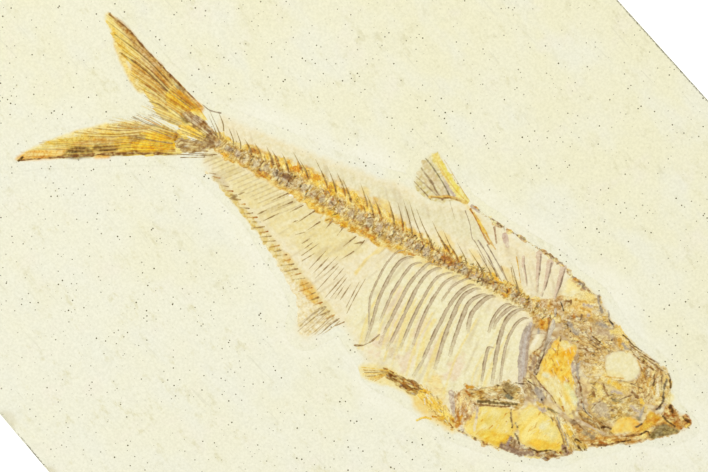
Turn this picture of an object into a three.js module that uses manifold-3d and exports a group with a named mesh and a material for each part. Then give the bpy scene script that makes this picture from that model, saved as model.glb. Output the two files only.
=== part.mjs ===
// A fossil fish on a sawn limestone slab, in millimetres, +Z up.
// The slab lies flat on its back face. The fish's bones lie on its top face as separate low plates.
// +X runs along the slab's long sides towards the fish's head, +Y towards the fish's back.
import * as THREE from "three";
import { mergeVertices } from "three/addons/utils/BufferGeometryUtils.js";
import Module from "manifold-3d";

const wasm = await Module();
wasm.setup();

// Slab
const SLAB_LENGTH = 140;
const SLAB_WIDTH = 120.6; // at the head end
const SLAB_TAPER = 4.2; // how much narrower the slab is at the tail end
const SLAB_END_SKEW = 1.4; // how far the tail end leans off square
const SLAB_THICKNESS = 10;
const SLAB_ARRIS = 0.4; // worn edge round both faces
// A spall's corners: shares of its length and of its depth
const SPALL_PROFILE = [[0, 0], [0.3, 1], [0.8, 0.7], [1, 0]];

// The fish has a frame of its own: x from tail to head, y to its back, its middle at the origin.
const FISH_CENTRE_Y = 3.6;
const FISH_TURN = THREE.MathUtils.degToRad(18);

// How far each kind of bone stands above the stone
const FIN_MEMBRANE = 0.2;
const FIN_RAY = 0.4;
const RIB_HEIGHT = 0.4;
const SKULL_HEIGHT = 0.7;
const VERTEBRA_HEIGHT = 0.7;

const SAME_POINT = 1e-4; // corners nearer than this are one corner

const VERTEBRA_COUNT = 38;
const VERTEBRA_WAIST = 0.72; // height at the middle, as a share of the height at its ends
const VERTEBRA_FILL = 0.86; // length of each vertebra as a share of its pitch
const CORD_WIDTH = 0.7; // the strip that holds the vertebrae together
const COLUMN_HALF_LEAST = 0.65; // half the column's height where it is thinnest
const COLUMN_HALF_SWELL = 0.45; // how much is added to that in mid-body
const BACKBONE_LINE = [[-27, 1.9], [-10, 2.6], [8, 3.4], [22, 4.3], [31, 4.6]];

// The spines on each vertebra. Neural ones point up and back, haemal ones down and back.
const SPINE_WIDTHS = [0.4, 0.2];
const SPINE_ROOT = 0.3; // how far a spine is sunk in its vertebra
const NEURAL_RISE_LEAST = 1.6;
const NEURAL_RISE_SWELL = 2.9;
const NEURAL_LEAN = 1.15; // how far back for each mm up
const HAEMAL_DROP_LEAST = 1.5;
const HAEMAL_DROP_GROWTH = 2.2;
const HAEMAL_LEAN = 0.7;
const FIRST_RIB_X = 4; // haemal spines are behind this, ribs in front of it

const EYE_SOCKET = { x: 47.3, y: 3.3, halfLength: 3, halfHeight: 2.3 };

const SCUTE_COUNT = 16;
const BACK_SCUTE_SIZE = 0.9;
const BELLY_SCUTE_SIZE = 1.1;

const materials = {
  limestone: new THREE.MeshStandardMaterial({ color: 0xf0ecd2, roughness: 0.9, metalness: 0 }),
  brownBone: new THREE.MeshStandardMaterial({ color: 0x94714a, roughness: 0.6, metalness: 0 }),
  greyBone: new THREE.MeshStandardMaterial({ color: 0xa2937f, roughness: 0.6, metalness: 0 }),
  amberBone: new THREE.MeshStandardMaterial({ color: 0xdba83a, roughness: 0.6, metalness: 0 }),
};

// ---------------------------------------------------------------- shape helpers

const toVector = ([x, y]) => new THREE.Vector3(x, y, 0);

function smoothLine(points, closed = false) {
  return new THREE.CatmullRomCurve3(points.map(toVector), closed, "centripetal");
}

// A closed outline that passes smoothly through the points.
function outline(points, stepsPerPoint = 2) {
  return new THREE.Shape(smoothLine(points, true).getPoints(points.length * stepsPerPoint).slice(0, -1));
}

// A long bone: a strip along a line, whose width runs evenly through the given widths.
function strip(points, widths, steps = 5) {
  const line = smoothLine(points);
  const left = [];
  const right = [];
  for (let i = 0; i <= steps; i++) {
    const t = i / steps;
    const at = line.getPointAt(t);
    const along = line.getTangentAt(t);
    const half = widthAt(widths, t) / 2;
    left.push(new THREE.Vector2(at.x - along.y * half, at.y + along.x * half));
    right.unshift(new THREE.Vector2(at.x + along.y * half, at.y - along.x * half));
  }
  return new THREE.Shape([...left, ...right]);
}

function widthAt(widths, t) {
  const place = t * (widths.length - 1);
  const i = Math.min(Math.floor(place), widths.length - 2);
  return THREE.MathUtils.lerp(widths[i], widths[i + 1], place - i);
}

function raise(shape, height) {
  return new THREE.ExtrudeGeometry(shape, { depth: height, bevelEnabled: false });
}

function toSolid(geometry) {
  const bare = geometry.clone();
  bare.deleteAttribute("normal");
  bare.deleteAttribute("uv");
  const merged = mergeVertices(bare, SAME_POINT);
  return new wasm.Manifold(
    new wasm.Mesh({
      numProp: 3,
      vertProperties: merged.attributes.position.array,
      triVerts: new Uint32Array(merged.index.array),
    }),
  );
}

function toGeometry(solid) {
  const mesh = solid.getMesh();
  const geometry = new THREE.BufferGeometry();
  geometry.setAttribute("position", new THREE.BufferAttribute(mesh.vertProperties, 3));
  geometry.setIndex(new THREE.BufferAttribute(mesh.triVerts, 1));
  geometry.computeVertexNormals();
  return geometry;
}

// Bones that have grown or been pressed together are one solid.
function join(geometries) {
  return toGeometry(geometries.map(toSolid).reduce((whole, piece) => whole.add(piece)));
}

// ---------------------------------------------------------------- slab

// A sawn quadrilateral with a few spalls along its edges.
// Each spall is where it starts as a share of the side, its length and its depth.
function slabOutline() {
  const half = SLAB_WIDTH / 2;
  const end = SLAB_LENGTH / 2;
  const corners = [
    new THREE.Vector2(-end, half),
    new THREE.Vector2(-end + SLAB_END_SKEW, -half + SLAB_TAPER),
    new THREE.Vector2(end, -half),
    new THREE.Vector2(end, half),
  ];
  const spalls = [
    [[0.22, 5, 0.5], [0.71, 8, 0.7]],
    [[0.12, 6, 0.6], [0.55, 7, 0.4], [0.83, 4, 0.5]],
    [[0.3, 9, 0.8], [0.78, 5, 0.5]],
    [[0.4, 6, 0.4]],
  ];
  const points = [];
  corners.forEach((from, side) => {
    const to = corners[(side + 1) % corners.length];
    const along = to.clone().sub(from);
    const length = along.length();
    along.normalize();
    const inward = new THREE.Vector2(-along.y, along.x);
    points.push(from);
    for (const [share, size, depth] of spalls[side]) {
      const start = from.clone().addScaledVector(along, share * length);
      for (const [reach, hollow] of SPALL_PROFILE) {
        const corner = start.clone().addScaledVector(along, size * reach);
        points.push(corner.addScaledVector(inward, depth * hollow));
      }
    }
  });
  return new THREE.Shape(points);
}

function slab() {
  const geometry = new THREE.ExtrudeGeometry(slabOutline(), {
    depth: SLAB_THICKNESS - 2 * SLAB_ARRIS,
    bevelThickness: SLAB_ARRIS,
    bevelSize: SLAB_ARRIS,
    bevelOffset: -SLAB_ARRIS,
    bevelSegments: 1,
  });
  geometry.translate(0, 0, SLAB_ARRIS);
  return geometry;
}

// ---------------------------------------------------------------- backbone

// Half the height of the column, from tail to skull.
function columnHalfHeight(t) {
  return COLUMN_HALF_LEAST + COLUMN_HALF_SWELL * Math.sin(Math.PI * Math.min(1, t * 0.95));
}

function vertebra(centre, tilt, length, half) {
  const waist = half * VERTEBRA_WAIST;
  const shape = new THREE.Shape([
    new THREE.Vector2(-length / 2, -half),
    new THREE.Vector2(0, -waist),
    new THREE.Vector2(length / 2, -half),
    new THREE.Vector2(length / 2, half),
    new THREE.Vector2(0, waist),
    new THREE.Vector2(-length / 2, half),
  ]);
  const geometry = raise(shape, VERTEBRA_HEIGHT);
  geometry.rotateZ(tilt);
  geometry.translate(centre.x, centre.y, 0);
  return geometry;
}

// The two gripping fans that the tail fin's rays grow from.
function tailBase() {
  const upper = [[-27, 2.8], [-29.5, 3.6], [-31.3, 3.9], [-31.4, 2.7], [-29.4, 2.2], [-27, 1.6]];
  const lower = [[-26.8, 1.9], [-29, 0.8], [-31.3, -0.4], [-30.8, -1.7], [-28.8, -0.9], [-27, 0.8]];
  return [upper, lower].map((points) => raise(outline(points), VERTEBRA_HEIGHT));
}

function backbone() {
  const line = smoothLine(BACKBONE_LINE);
  const pitch = line.getLength() / VERTEBRA_COUNT;
  const cord = raise(strip(BACKBONE_LINE, [CORD_WIDTH, CORD_WIDTH], 12), VERTEBRA_HEIGHT * 0.8);
  const pieces = [cord, ...tailBase()];
  for (let i = 0; i < VERTEBRA_COUNT; i++) {
    const t = (i + 0.5) / VERTEBRA_COUNT;
    const at = line.getPointAt(t);
    const along = line.getTangentAt(t);
    const half = columnHalfHeight(t);
    pieces.push(vertebra(at, Math.atan2(along.y, along.x), pitch * VERTEBRA_FILL, half));
    // The neural spine leans back over the column, longest in the middle of the body.
    const rise = NEURAL_RISE_LEAST + NEURAL_RISE_SWELL * Math.sin(Math.PI * Math.min(1, t * 1.15));
    const top = [at.x - rise * NEURAL_LEAN, at.y + half + rise];
    pieces.push(raise(strip([[at.x, at.y + half - SPINE_ROOT], top], SPINE_WIDTHS, 1), RIB_HEIGHT));
    if (at.x < FIRST_RIB_X) {
      const drop = HAEMAL_DROP_LEAST + HAEMAL_DROP_GROWTH * t;
      const bottom = [at.x - drop * HAEMAL_LEAN, at.y - half - drop];
      pieces.push(raise(strip([[at.x, at.y - half + SPINE_ROOT], bottom], SPINE_WIDTHS, 1), RIB_HEIGHT));
    }
  }
  return join(pieces);
}

// ---------------------------------------------------------------- ribs

// Each rib is its line from the backbone to the belly, and its widest width.
const RIBS = [
  { line: [[7.2, 0.9], [6.7, -2], [6.9, -5], [7.5, -8], [9.5, -12]], width: 0.35 },
  { line: [[8.8, 1.2], [8.1, -2], [8.3, -5], [9.3, -10], [10.3, -14]], width: 0.5 },
  { line: [[10.4, 1.3], [9.9, -3], [10.1, -6], [10.7, -9.5]], width: 0.45 },
  { line: [[12.3, 1.7], [11.5, -2], [11.5, -5], [12, -10], [12.3, -13]], width: 0.5 },
  { line: [[13.8, 1.9], [12.9, -2], [13.1, -5], [13.7, -11], [13.4, -13.4]], width: 0.5 },
  { line: [[15.6, 2.3], [14.6, -1], [14.7, -5], [15.1, -9], [15.5, -12]], width: 0.45 },
  { line: [[17.1, 2.4], [16, -1.5], [16.1, -5], [16.8, -9.5], [17.1, -11.5]], width: 0.45 },
  { line: [[18.7, 2.6], [17.7, 0.8], [17.4, -2.2]], width: 0.35 },
  { line: [[19.8, 2.3], [18.9, -1], [18.9, -4], [19.4, -10], [19.4, -14.3]], width: 0.6 },
  { line: [[20.9, 2.6], [19.9, -1], [20.1, -3.5], [21.2, -9], [21.9, -12]], width: 0.6 },
  { line: [[22.1, 2.6], [21.3, -1], [21.6, -3.5], [22.9, -9]], width: 0.6 },
  { line: [[23.3, 2.6], [22.6, -0.5], [22.9, -2.5], [23.4, -4.2]], width: 0.6 },
  { line: [[26.1, 2.7], [25.6, 0.4], [26.3, -2.7]], width: 0.35 },
  { line: [[27.4, 2.9], [26.6, 0], [26.9, -1.8]], width: 0.45 },
  { line: [[28.7, 2.9], [27.9, -0.5], [28.6, -3], [31, -9.4]], width: 0.65 },
  { line: [[29.9, 2.9], [29.5, 0.5], [29.7, -1.5], [31.9, -8.3]], width: 0.45 },
  { line: [[27.6, -4.8], [28.3, -7], [29.2, -9.8]], width: 0.5 },
];

function rib({ line, width }) {
  return raise(strip(line, [width * 0.7, width, width * 0.8], 6), RIB_HEIGHT);
}

// The broad bones between the nape and the dorsal fin, each from its lower end to its upper end.
const NAPE_BONES = [
  { line: [[27.6, 8.0], [26.6, 9.4], [25.6, 10.6]], width: 0.4 },
  { line: [[29.4, 7.4], [28, 10.2], [27.2, 12.2]], width: 0.7 },
  { line: [[30.6, 7.4], [30.2, 9.8], [29.5, 11.8]], width: 0.8 },
  { line: [[33, 7.0], [32.2, 9.4], [31.8, 11.9]], width: 0.7 },
];

// ---------------------------------------------------------------- skull, gill cover and shoulder

function skull() {
  const shape = outline([
    [34.3, 8.4], [38.6, 11.2], [42.8, 8.7], [50, 7], [54, 6.4], [56, 4.6], [56.9, 1.4],
    [53.4, 0.3], [50, -0.1], [43.4, -0.6], [41.3, 1], [39.6, 3], [37.1, 3.2], [35.6, 5.6],
  ]);
  const { x, y, halfLength, halfHeight } = EYE_SOCKET;
  const eyeSocket = new THREE.Path().absellipse(x, y, halfLength, halfHeight, 0, 2 * Math.PI);
  shape.holes.push(new THREE.Path(eyeSocket.getPoints(20).slice(0, -1)));
  return raise(shape, SKULL_HEIGHT);
}

function cheek() {
  const shape = outline([
    [44.6, -1.3], [50, -0.7], [54.3, -0.4], [54, -2.6], [51.2, -5.4], [48, -5.5], [45.6, -4],
  ]);
  return raise(shape, SKULL_HEIGHT);
}

function frontGillBone() {
  const shape = strip([[41.9, -0.9], [43.4, -3.4], [45.6, -5.7], [50.4, -6.5]], [1.1, 1.3, 1], 6);
  return raise(shape, SKULL_HEIGHT);
}

function gillCover() {
  const shape = outline([
    [37, 2.6], [39.4, 2.4], [40.6, 0.2], [41.6, -2.2], [44.6, -6.2], [45.4, -8], [42, -7.2], [38.8, -5.8],
    [37, -4.6], [36.8, -1],
  ]);
  return raise(shape, FIN_RAY);
}

function lowerJaw() {
  const shape = outline([
    [45, -8.7], [48, -8], [52, -7.2], [55, -4], [57, -1.2], [60.7, 0.1], [60, -1.6], [57, -4.2],
    [53.6, -6.8], [49.6, -9.9], [46.6, -9.9],
  ]);
  return raise(shape, SKULL_HEIGHT);
}

function upperJaw() {
  const shape = outline([[57.5, 0], [57.6, 1.8], [59, 1.2], [60.6, 1.8], [61.4, 1], [60, 0.6]]);
  return raise(shape, SKULL_HEIGHT);
}

// The curved bone behind the gill opening that the breast fin hangs from.
function shoulderBone() {
  const line = [[31.4, 2.4], [31.7, 0], [32.6, -3], [34.6, -5.7], [37.6, -7.6]];
  return raise(strip(line, [0.9, 1.7, 1.8, 1.7, 1.2], 8), FIN_RAY);
}

function shoulderBrace() {
  const line = [[34.1, 5.4], [34.9, 2.6], [35.3, -0.5], [35.7, -4.4]];
  return raise(strip(line, [0.7, 0.9, 0.7], 6), FIN_RAY);
}

function breastPlateFront() {
  const shape = outline([
    [38.6, -9], [42.8, -9.6], [45.4, -11.6], [45.4, -13], [42, -14.7], [39.4, -14.7], [38.4, -12],
  ]);
  return raise(shape, FIN_MEMBRANE);
}

function breastPlateRear() {
  const shape = outline([[31.8, -14], [36, -11.9], [37.3, -14], [37.6, -16.4], [34.5, -17.4], [31, -17.3]]);
  return raise(shape, FIN_MEMBRANE);
}

// ---------------------------------------------------------------- edge scutes

// A row of small keeled plates along the fish's edge, pressed into one toothed band.
function scuteRow(line, size) {
  const curve = smoothLine(line);
  const diamond = [[-size / 2, 0], [0, size / 2], [size / 2, 0], [0, -size / 2]];
  const pieces = [raise(strip(line, [size / 2, size / 2], SCUTE_COUNT), FIN_RAY)];
  for (let i = 0; i < SCUTE_COUNT; i++) {
    const share = (i + 0.5) / SCUTE_COUNT;
    const at = curve.getPointAt(share);
    const along = curve.getTangentAt(share);
    const scute = raise(outline(diamond, 1), FIN_RAY);
    scute.rotateZ(Math.atan2(along.y, along.x));
    scute.translate(at.x, at.y, 0);
    pieces.push(scute);
  }
  return join(pieces);
}

const BACK_EDGE = [[14.6, 13.5], [20, 13.1], [26, 13], [31, 12.6], [34.4, 11.7], [37, 11]];
const BELLY_EDGE = [
  [24.5, -18.1], [30, -18.6], [35.5, -18.2], [39.5, -16.6], [43.5, -15.4], [47.6, -12.2], [49, -11],
];

// ---------------------------------------------------------------- fins

// A fan of rays from a base line to a tip line, numbered from one end of each to the other.
function rays(baseLine, tipLine, count, widths) {
  const base = smoothLine(baseLine);
  const tip = smoothLine(tipLine);
  return Array.from({ length: count }, (_, i) => {
    const from = base.getPointAt(i / (count - 1));
    const to = tip.getPointAt(i / (count - 1));
    return raise(strip([[from.x, from.y], [to.x, to.y]], widths, 1), FIN_RAY);
  });
}

function tailLobeUpper() {
  const web = outline([
    [-31.8, 4.3], [-33, 5.9], [-37.5, 6.6], [-44, 9.3], [-48, 10.7], [-52, 11], [-51, 9.2], [-45, 5.6],
    [-40, 2.8], [-36, 1.4], [-32.6, 2.2],
  ]);
  const tips = [[-50.4, 10.6], [-47.6, 7.8], [-39.5, 3.2]];
  const fan = rays([[-33, 5.5], [-33.2, 2.6]], tips, 8, [0.6, 0.3]);
  return join([raise(web, FIN_MEMBRANE), ...fan]);
}

function tailLobeLower() {
  const web = outline([
    [-31.6, -0.8], [-34, -0.1], [-37, -1.4], [-42, -4], [-47, -8.6], [-51.4, -13], [-52.6, -16.1],
    [-50, -14.2], [-44, -10.6], [-36, -5.6], [-31.4, -2.6],
  ]);
  const tips = [[-42.6, -5], [-47.6, -9.6], [-51.4, -14.6]];
  const fan = rays([[-32.8, -0.8], [-32.6, -2.8]], tips, 8, [0.6, 0.3]);
  return join([raise(web, FIN_MEMBRANE), ...fan]);
}

function dorsalFin() {
  const web = outline([
    [12.6, 13.7], [8, 16.3], [4.6, 17.9], [3.8, 16], [3.8, 12.8], [5.4, 11.1], [8.6, 11], [10.8, 12.6],
  ]);
  const tips = [[5, 17.3], [4.2, 15.2], [4.6, 12.4]];
  const fan = rays([[11.8, 13.6], [9.6, 12.4], [8, 11.2]], tips, 6, [0.5, 0.25]);
  // The supports slope from the fin's base down between the spines of the backbone.
  const supports = [
    strip([[11.4, 13.2], [14.6, 12.2], [19.6, 9.8], [24, 7.9]], [0.5, 0.6, 0.3], 4),
    strip([[10.8, 12.8], [15, 10.9], [18, 9.6]], [0.4, 0.3], 3),
    strip([[10.2, 12.4], [13.6, 10.4]], [0.4, 0.3], 1),
    strip([[9.4, 11.8], [12, 9.9]], [0.4, 0.3], 1),
  ];
  return join([raise(web, FIN_MEMBRANE), ...fan, ...supports.map((shape) => raise(shape, RIB_HEIGHT))]);
}

function analFin() {
  const baseLine = [[4.6, -12.6], [1, -11.7], [-3, -9.8], [-9, -7.5], [-16, -4.8], [-25, -2.4]];
  const web = outline([
    [5.3, -12.8], [3.6, -15.6], [1.4, -18.3], [-0.8, -17.2], [-3, -14.4], [-9, -10.4], [-17, -6.6],
    [-25.4, -3.8], [-25.6, -2.6], [-16, -5], [-9, -7.7], [-3, -10], [1, -11.9],
  ]);
  const tips = [[2.4, -16.6], [-1.5, -13.6], [-6, -11.1], [-11.6, -8.6], [-19, -5.2], [-25.2, -3.4]];
  const fan = rays(baseLine, tips, 18, [0.45, 0.25]);
  const heads = [[4.8, -6], [1.6, -5.2], [-2.4, -4.9], [-7.6, -4.4]];
  const supports = rays(baseLine.slice(0, 4), heads, 14, [0.35, 0.25]);
  const bar = raise(strip(baseLine, [0.5, 0.3], 8), FIN_RAY);
  return join([raise(web, FIN_MEMBRANE), bar, ...fan, ...supports]);
}

function pelvicFin() {
  const bundle = outline([
    [22, -15.9], [18.7, -16], [15.2, -15.9], [15.1, -17], [18.8, -17.3], [21.4, -16.8],
  ]);
  const fan = rays([[15.8, -16.2], [15.8, -16.9]], [[11.4, -17.2], [12.4, -18.6]], 4, [0.5, 0.25]);
  return join([raise(bundle, FIN_RAY), ...fan]);
}

function breastFin() {
  const bundle = outline([
    [36.6, -9.4], [33.6, -9.3], [31, -11.2], [27.8, -12], [28, -13.8], [31, -13.2], [34, -11.7],
    [36.4, -10.6],
  ]);
  return raise(bundle, FIN_RAY);
}

// ---------------------------------------------------------------- assembly

const fish = new THREE.Group();
fish.position.set(0, FISH_CENTRE_Y, SLAB_THICKNESS);
fish.rotation.z = FISH_TURN;

function place(group, name, geometry, material) {
  const mesh = new THREE.Mesh(geometry, materials[material]);
  mesh.name = name;
  group.add(mesh);
}

place(fish, "backbone", backbone(), "brownBone");
RIBS.forEach((bone, i) => place(fish, `rib_${String(i + 1).padStart(2, "0")}`, rib(bone), "greyBone"));
NAPE_BONES.forEach((bone, i) => place(fish, `nape_bone_${i + 1}`, rib(bone), "greyBone"));
place(fish, "skull", skull(), "brownBone");
place(fish, "cheek_bones", cheek(), "brownBone");
place(fish, "front_gill_bone", frontGillBone(), "greyBone");
place(fish, "gill_cover", gillCover(), "amberBone");
place(fish, "lower_jaw", lowerJaw(), "brownBone");
place(fish, "upper_jaw", upperJaw(), "brownBone");
place(fish, "shoulder_bone", shoulderBone(), "greyBone");
place(fish, "shoulder_brace", shoulderBrace(), "greyBone");
place(fish, "breast_plate_front", breastPlateFront(), "amberBone");
place(fish, "breast_plate_rear", breastPlateRear(), "amberBone");
place(fish, "back_scutes", scuteRow(BACK_EDGE, BACK_SCUTE_SIZE), "brownBone");
place(fish, "belly_scutes", scuteRow(BELLY_EDGE, BELLY_SCUTE_SIZE), "brownBone");
place(fish, "tail_lobe_upper", tailLobeUpper(), "amberBone");
place(fish, "tail_lobe_lower", tailLobeLower(), "amberBone");
place(fish, "dorsal_fin", dorsalFin(), "amberBone");
place(fish, "anal_fin", analFin(), "greyBone");
place(fish, "pelvic_fin", pelvicFin(), "brownBone");
place(fish, "breast_fin", breastFin(), "brownBone");

const fossil = new THREE.Group();
place(fossil, "limestone_slab", slab(), "limestone");
fossil.add(fish);

export default fossil;
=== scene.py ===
import math

import bpy
import numpy as np
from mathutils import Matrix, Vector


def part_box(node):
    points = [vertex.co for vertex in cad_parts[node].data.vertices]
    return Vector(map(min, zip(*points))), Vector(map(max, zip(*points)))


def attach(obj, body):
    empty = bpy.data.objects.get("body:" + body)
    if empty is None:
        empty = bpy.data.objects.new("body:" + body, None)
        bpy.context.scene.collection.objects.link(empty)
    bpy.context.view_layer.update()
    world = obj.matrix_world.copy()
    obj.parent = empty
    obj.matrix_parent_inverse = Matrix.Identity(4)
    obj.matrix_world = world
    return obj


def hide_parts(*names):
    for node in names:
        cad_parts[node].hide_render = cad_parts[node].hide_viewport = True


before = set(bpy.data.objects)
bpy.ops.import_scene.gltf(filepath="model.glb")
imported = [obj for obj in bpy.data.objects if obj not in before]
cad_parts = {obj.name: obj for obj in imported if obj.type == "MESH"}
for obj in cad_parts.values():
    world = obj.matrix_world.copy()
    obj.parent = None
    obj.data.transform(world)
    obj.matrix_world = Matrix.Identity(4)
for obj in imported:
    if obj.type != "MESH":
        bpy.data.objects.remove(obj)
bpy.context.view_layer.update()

MM = 0.001
SLAB_LOW, SLAB_HIGH = (np.array(corner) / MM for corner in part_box("limestone_slab"))
SLAB_TOP = SLAB_HIGH[2]

# Where part.mjs puts the fish on the slab
FISH_CENTRE_Y = 3.6
FISH_TURN = math.radians(18)

# The camera looks straight down on the fish.
PHOTO_ROLL = math.radians(48)
PHOTO_WIDTH = 113.3  # mm across the picture, at the height of the slab's face
LENS = 100
SENSOR = 36

# The light, in metres and watts. The key light comes from the upper left of the picture.
WORLD_COLOUR = (1, 0.995, 0.985, 1)
WORLD_STRENGTH = 0.885
KEY_TOWARD = PHOTO_ROLL + math.radians(135)
KEY_REACH = 0.5
KEY_HEIGHT = 0.6
KEY_SIZE = 0.35
KEY_POWER = 1.0
FLOOR_HALF = 2.0
FLOOR_COLOUR = (0.93, 0.93, 0.93, 1)
FLOOR_GLOW = 0.45


# ---------------------------------------------------------------- camera, light and floor


def make_camera():
    data = bpy.data.cameras.new("camera")
    data.lens = LENS
    data.sensor_width = SENSOR
    camera = bpy.data.objects.new("camera", data)
    height = SLAB_TOP + PHOTO_WIDTH * LENS / SENSOR
    camera.location = (0, FISH_CENTRE_Y * MM, height * MM)
    camera.rotation_euler = (0, 0, PHOTO_ROLL)
    data.clip_start = 0.01
    bpy.context.collection.objects.link(camera)
    bpy.context.scene.camera = camera


def make_light():
    world = bpy.data.worlds.new("studio")
    world.use_nodes = True
    background = world.node_tree.nodes["Background"]
    background.inputs["Color"].default_value = WORLD_COLOUR
    background.inputs["Strength"].default_value = WORLD_STRENGTH
    bpy.context.scene.world = world
    bpy.context.scene.view_settings.view_transform = "Standard"
    data = bpy.data.lights.new("key", "AREA")
    data.size = KEY_SIZE
    data.energy = KEY_POWER
    light = bpy.data.objects.new("key", data)
    light.location = (KEY_REACH * math.cos(KEY_TOWARD), KEY_REACH * math.sin(KEY_TOWARD), KEY_HEIGHT)
    light.rotation_euler = (-light.location).to_track_quat("-Z", "Y").to_euler()
    bpy.context.collection.objects.link(light)


def make_floor():
    mesh = bpy.data.meshes.new("floor")
    corners = [(x * FLOOR_HALF, y * FLOOR_HALF, 0) for x, y in ((-1, -1), (1, -1), (1, 1), (-1, 1))]
    mesh.from_pydata(corners, [], [(0, 1, 2, 3)])
    floor = bpy.data.objects.new("floor", mesh)
    bpy.context.collection.objects.link(floor)
    material = bpy.data.materials.new("floor")
    material.use_nodes = True
    surface = material.node_tree.nodes["Principled BSDF"]
    surface.inputs["Base Color"].default_value = FLOOR_COLOUR
    surface.inputs["Roughness"].default_value = 0.9
    surface.inputs["Emission Color"].default_value = (1, 1, 1, 1)
    surface.inputs["Emission Strength"].default_value = FLOOR_GLOW
    mesh.materials.append(material)


# ---------------------------------------------------------------- colour


# Colours as the eye sees them, 0 to 255
PALETTE = {
    "stone": (243, 240, 212),
    "chalk": (248, 246, 226),
    "skin": (241, 229, 189),
    "pale": (246, 238, 206),
    "bone": (200, 182, 152),
    "mauve": (205, 188, 168),
    "slate": (178, 166, 148),
    "tan": (212, 186, 140),
    "taupe": (190, 164, 116),
    "ochre": (220, 178, 88),
    "umber": (160, 132, 92),
    "brown": (152, 112, 62),
    "dark": (104, 72, 30),
    "black": (66, 48, 24),
    "rust": (186, 122, 44),
    "orange": (214, 154, 44),
    "amber": (234, 184, 60),
    "yellow": (242, 208, 98),
    "straw": (243, 224, 148),
    "olive": (152, 136, 92),
}


def linear(colour):
    """A palette name, or a triple of 0 to 1, in the light's own scale."""
    value = np.array(PALETTE[colour]) / 255 if isinstance(colour, str) else np.array(colour)
    return np.where(value <= 0.04045, value / 12.92, ((value + 0.055) / 1.055) ** 2.4)


# ---------------------------------------------------------------- noise


def smooth_noise(x, y, size, seed):
    """Smooth noise from -1 to 1, whose bumps are about size across."""
    lattice = np.random.default_rng(seed).uniform(-1, 1, (256, 256))
    u = x / size + 1000.5
    v = y / size + 1000.5
    i = np.floor(u).astype(int)
    j = np.floor(v).astype(int)
    s = (u - i) ** 2 * (3 - 2 * (u - i))
    t = (v - j) ** 2 * (3 - 2 * (v - j))
    near = lattice[j % 256, i % 256] * (1 - s) + lattice[j % 256, (i + 1) % 256] * s
    far = lattice[(j + 1) % 256, i % 256] * (1 - s) + lattice[(j + 1) % 256, (i + 1) % 256] * s
    return near * (1 - t) + far * t


def rough_noise(x, y, size, seed, octaves=3):
    """Layers of smooth noise, each half as large and half as strong as the one before."""
    total = sum(smooth_noise(x, y, size / 2**k, seed + k) / 2**k for k in range(octaves))
    return total / sum(1 / 2**k for k in range(octaves))


def ease(value, low, high):
    """0 at low, 1 at high, and smooth between."""
    share = np.clip((value - low) / (high - low), 0, 1)
    return share * share * (3 - 2 * share)


def bed(x, y):
    """The gentle unevenness of the slab's face."""
    return 0.06 * smooth_noise(x, y, 17, 5) + 0.03 * smooth_noise(x, y, 7, 6)


# ---------------------------------------------------------------- lines and outlines


def smooth_line(points, steps=6):
    """A curve through the points, as a dense list of points."""
    points = np.array(points, float)
    if len(points) < 3:
        return points
    ends = np.vstack([2 * points[0] - points[1], points, 2 * points[-1] - points[-2]])
    curve = []
    for a, b, c, d in zip(ends, ends[1:], ends[2:], ends[3:]):
        square = 2 * a - 5 * b + 4 * c - d
        cube = 3 * b - 3 * c + d - a
        for t in np.arange(steps) / steps:
            curve.append(0.5 * (2 * b + (c - a) * t + square * t**2 + cube * t**3))
    return np.vstack([curve, points[-1]])


def point_on(line, share):
    """The point at a share of the line's length."""
    lengths = np.concatenate([[0], np.cumsum(np.hypot(*np.diff(line, axis=0).T))])
    return np.array([np.interp(share * lengths[-1], lengths, line[:, i]) for i in (0, 1)])


def turned(x, y, degrees):
    """The places as they are in a frame turned by degrees."""
    c, s = math.cos(math.radians(degrees)), math.sin(math.radians(degrees))
    return x * c + y * s, y * c - x * s


def nearest_on_line(line, x, y):
    """Distance from each place to the line, and the share of its length at the nearest point."""
    lengths = np.hypot(*np.diff(line, axis=0).T)
    starts = np.concatenate([[0], np.cumsum(lengths)])
    distance = np.full(np.shape(x), 1e9)
    share = np.zeros(np.shape(x))
    for (ax, ay), (bx, by), start, length in zip(line, line[1:], starts, lengths):
        dx, dy = (bx - ax) / max(length, 1e-9), (by - ay) / max(length, 1e-9)
        t = np.clip((x - ax) * dx + (y - ay) * dy, 0, length)
        d = np.hypot(x - ax - t * dx, y - ay - t * dy)
        nearer = d < distance
        distance = np.where(nearer, d, distance)
        share = np.where(nearer, (start + t) / max(starts[-1], 1e-9), share)
    return distance, share


def depth_inside(outline, x, y):
    """Distance from each place to the closed outline, positive inside it."""
    ring = np.vstack([outline, outline[:1]])
    distance, _ = nearest_on_line(ring, x, y)
    inside = np.zeros(np.shape(x), bool)
    for (ax, ay), (bx, by) in zip(ring, ring[1:]):
        if ay == by:
            continue
        crosses = ((ay > y) != (by > y)) & (x < ax + (y - ay) * (bx - ax) / (by - ay))
        inside ^= crosses
    return np.where(inside, distance, -distance)


# ---------------------------------------------------------------- drawing in relief

STEP = 0.085  # mm between neighbouring points
LEFT, RIGHT, LOW, HIGH = -57.0, 64.0, -24.0, 24.0
GRID_X, GRID_Y = np.meshgrid(np.arange(LEFT, RIGHT, STEP), np.arange(LOW, HIGH, STEP))
# Noise that every bone and stain shares
BUMPS = rough_noise(GRID_X, GRID_Y, 0.9, 11)
GRAIN = 2 * rough_noise(GRID_X, GRID_Y, 0.36, 21, 2)
PATCHES = rough_noise(GRID_X, GRID_Y, 2.4, 31)
EMPTY = -0.3  # height where a relief has nothing
EDGE_DIP = -0.1  # how far a piece's edge goes below the slab's face


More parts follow.
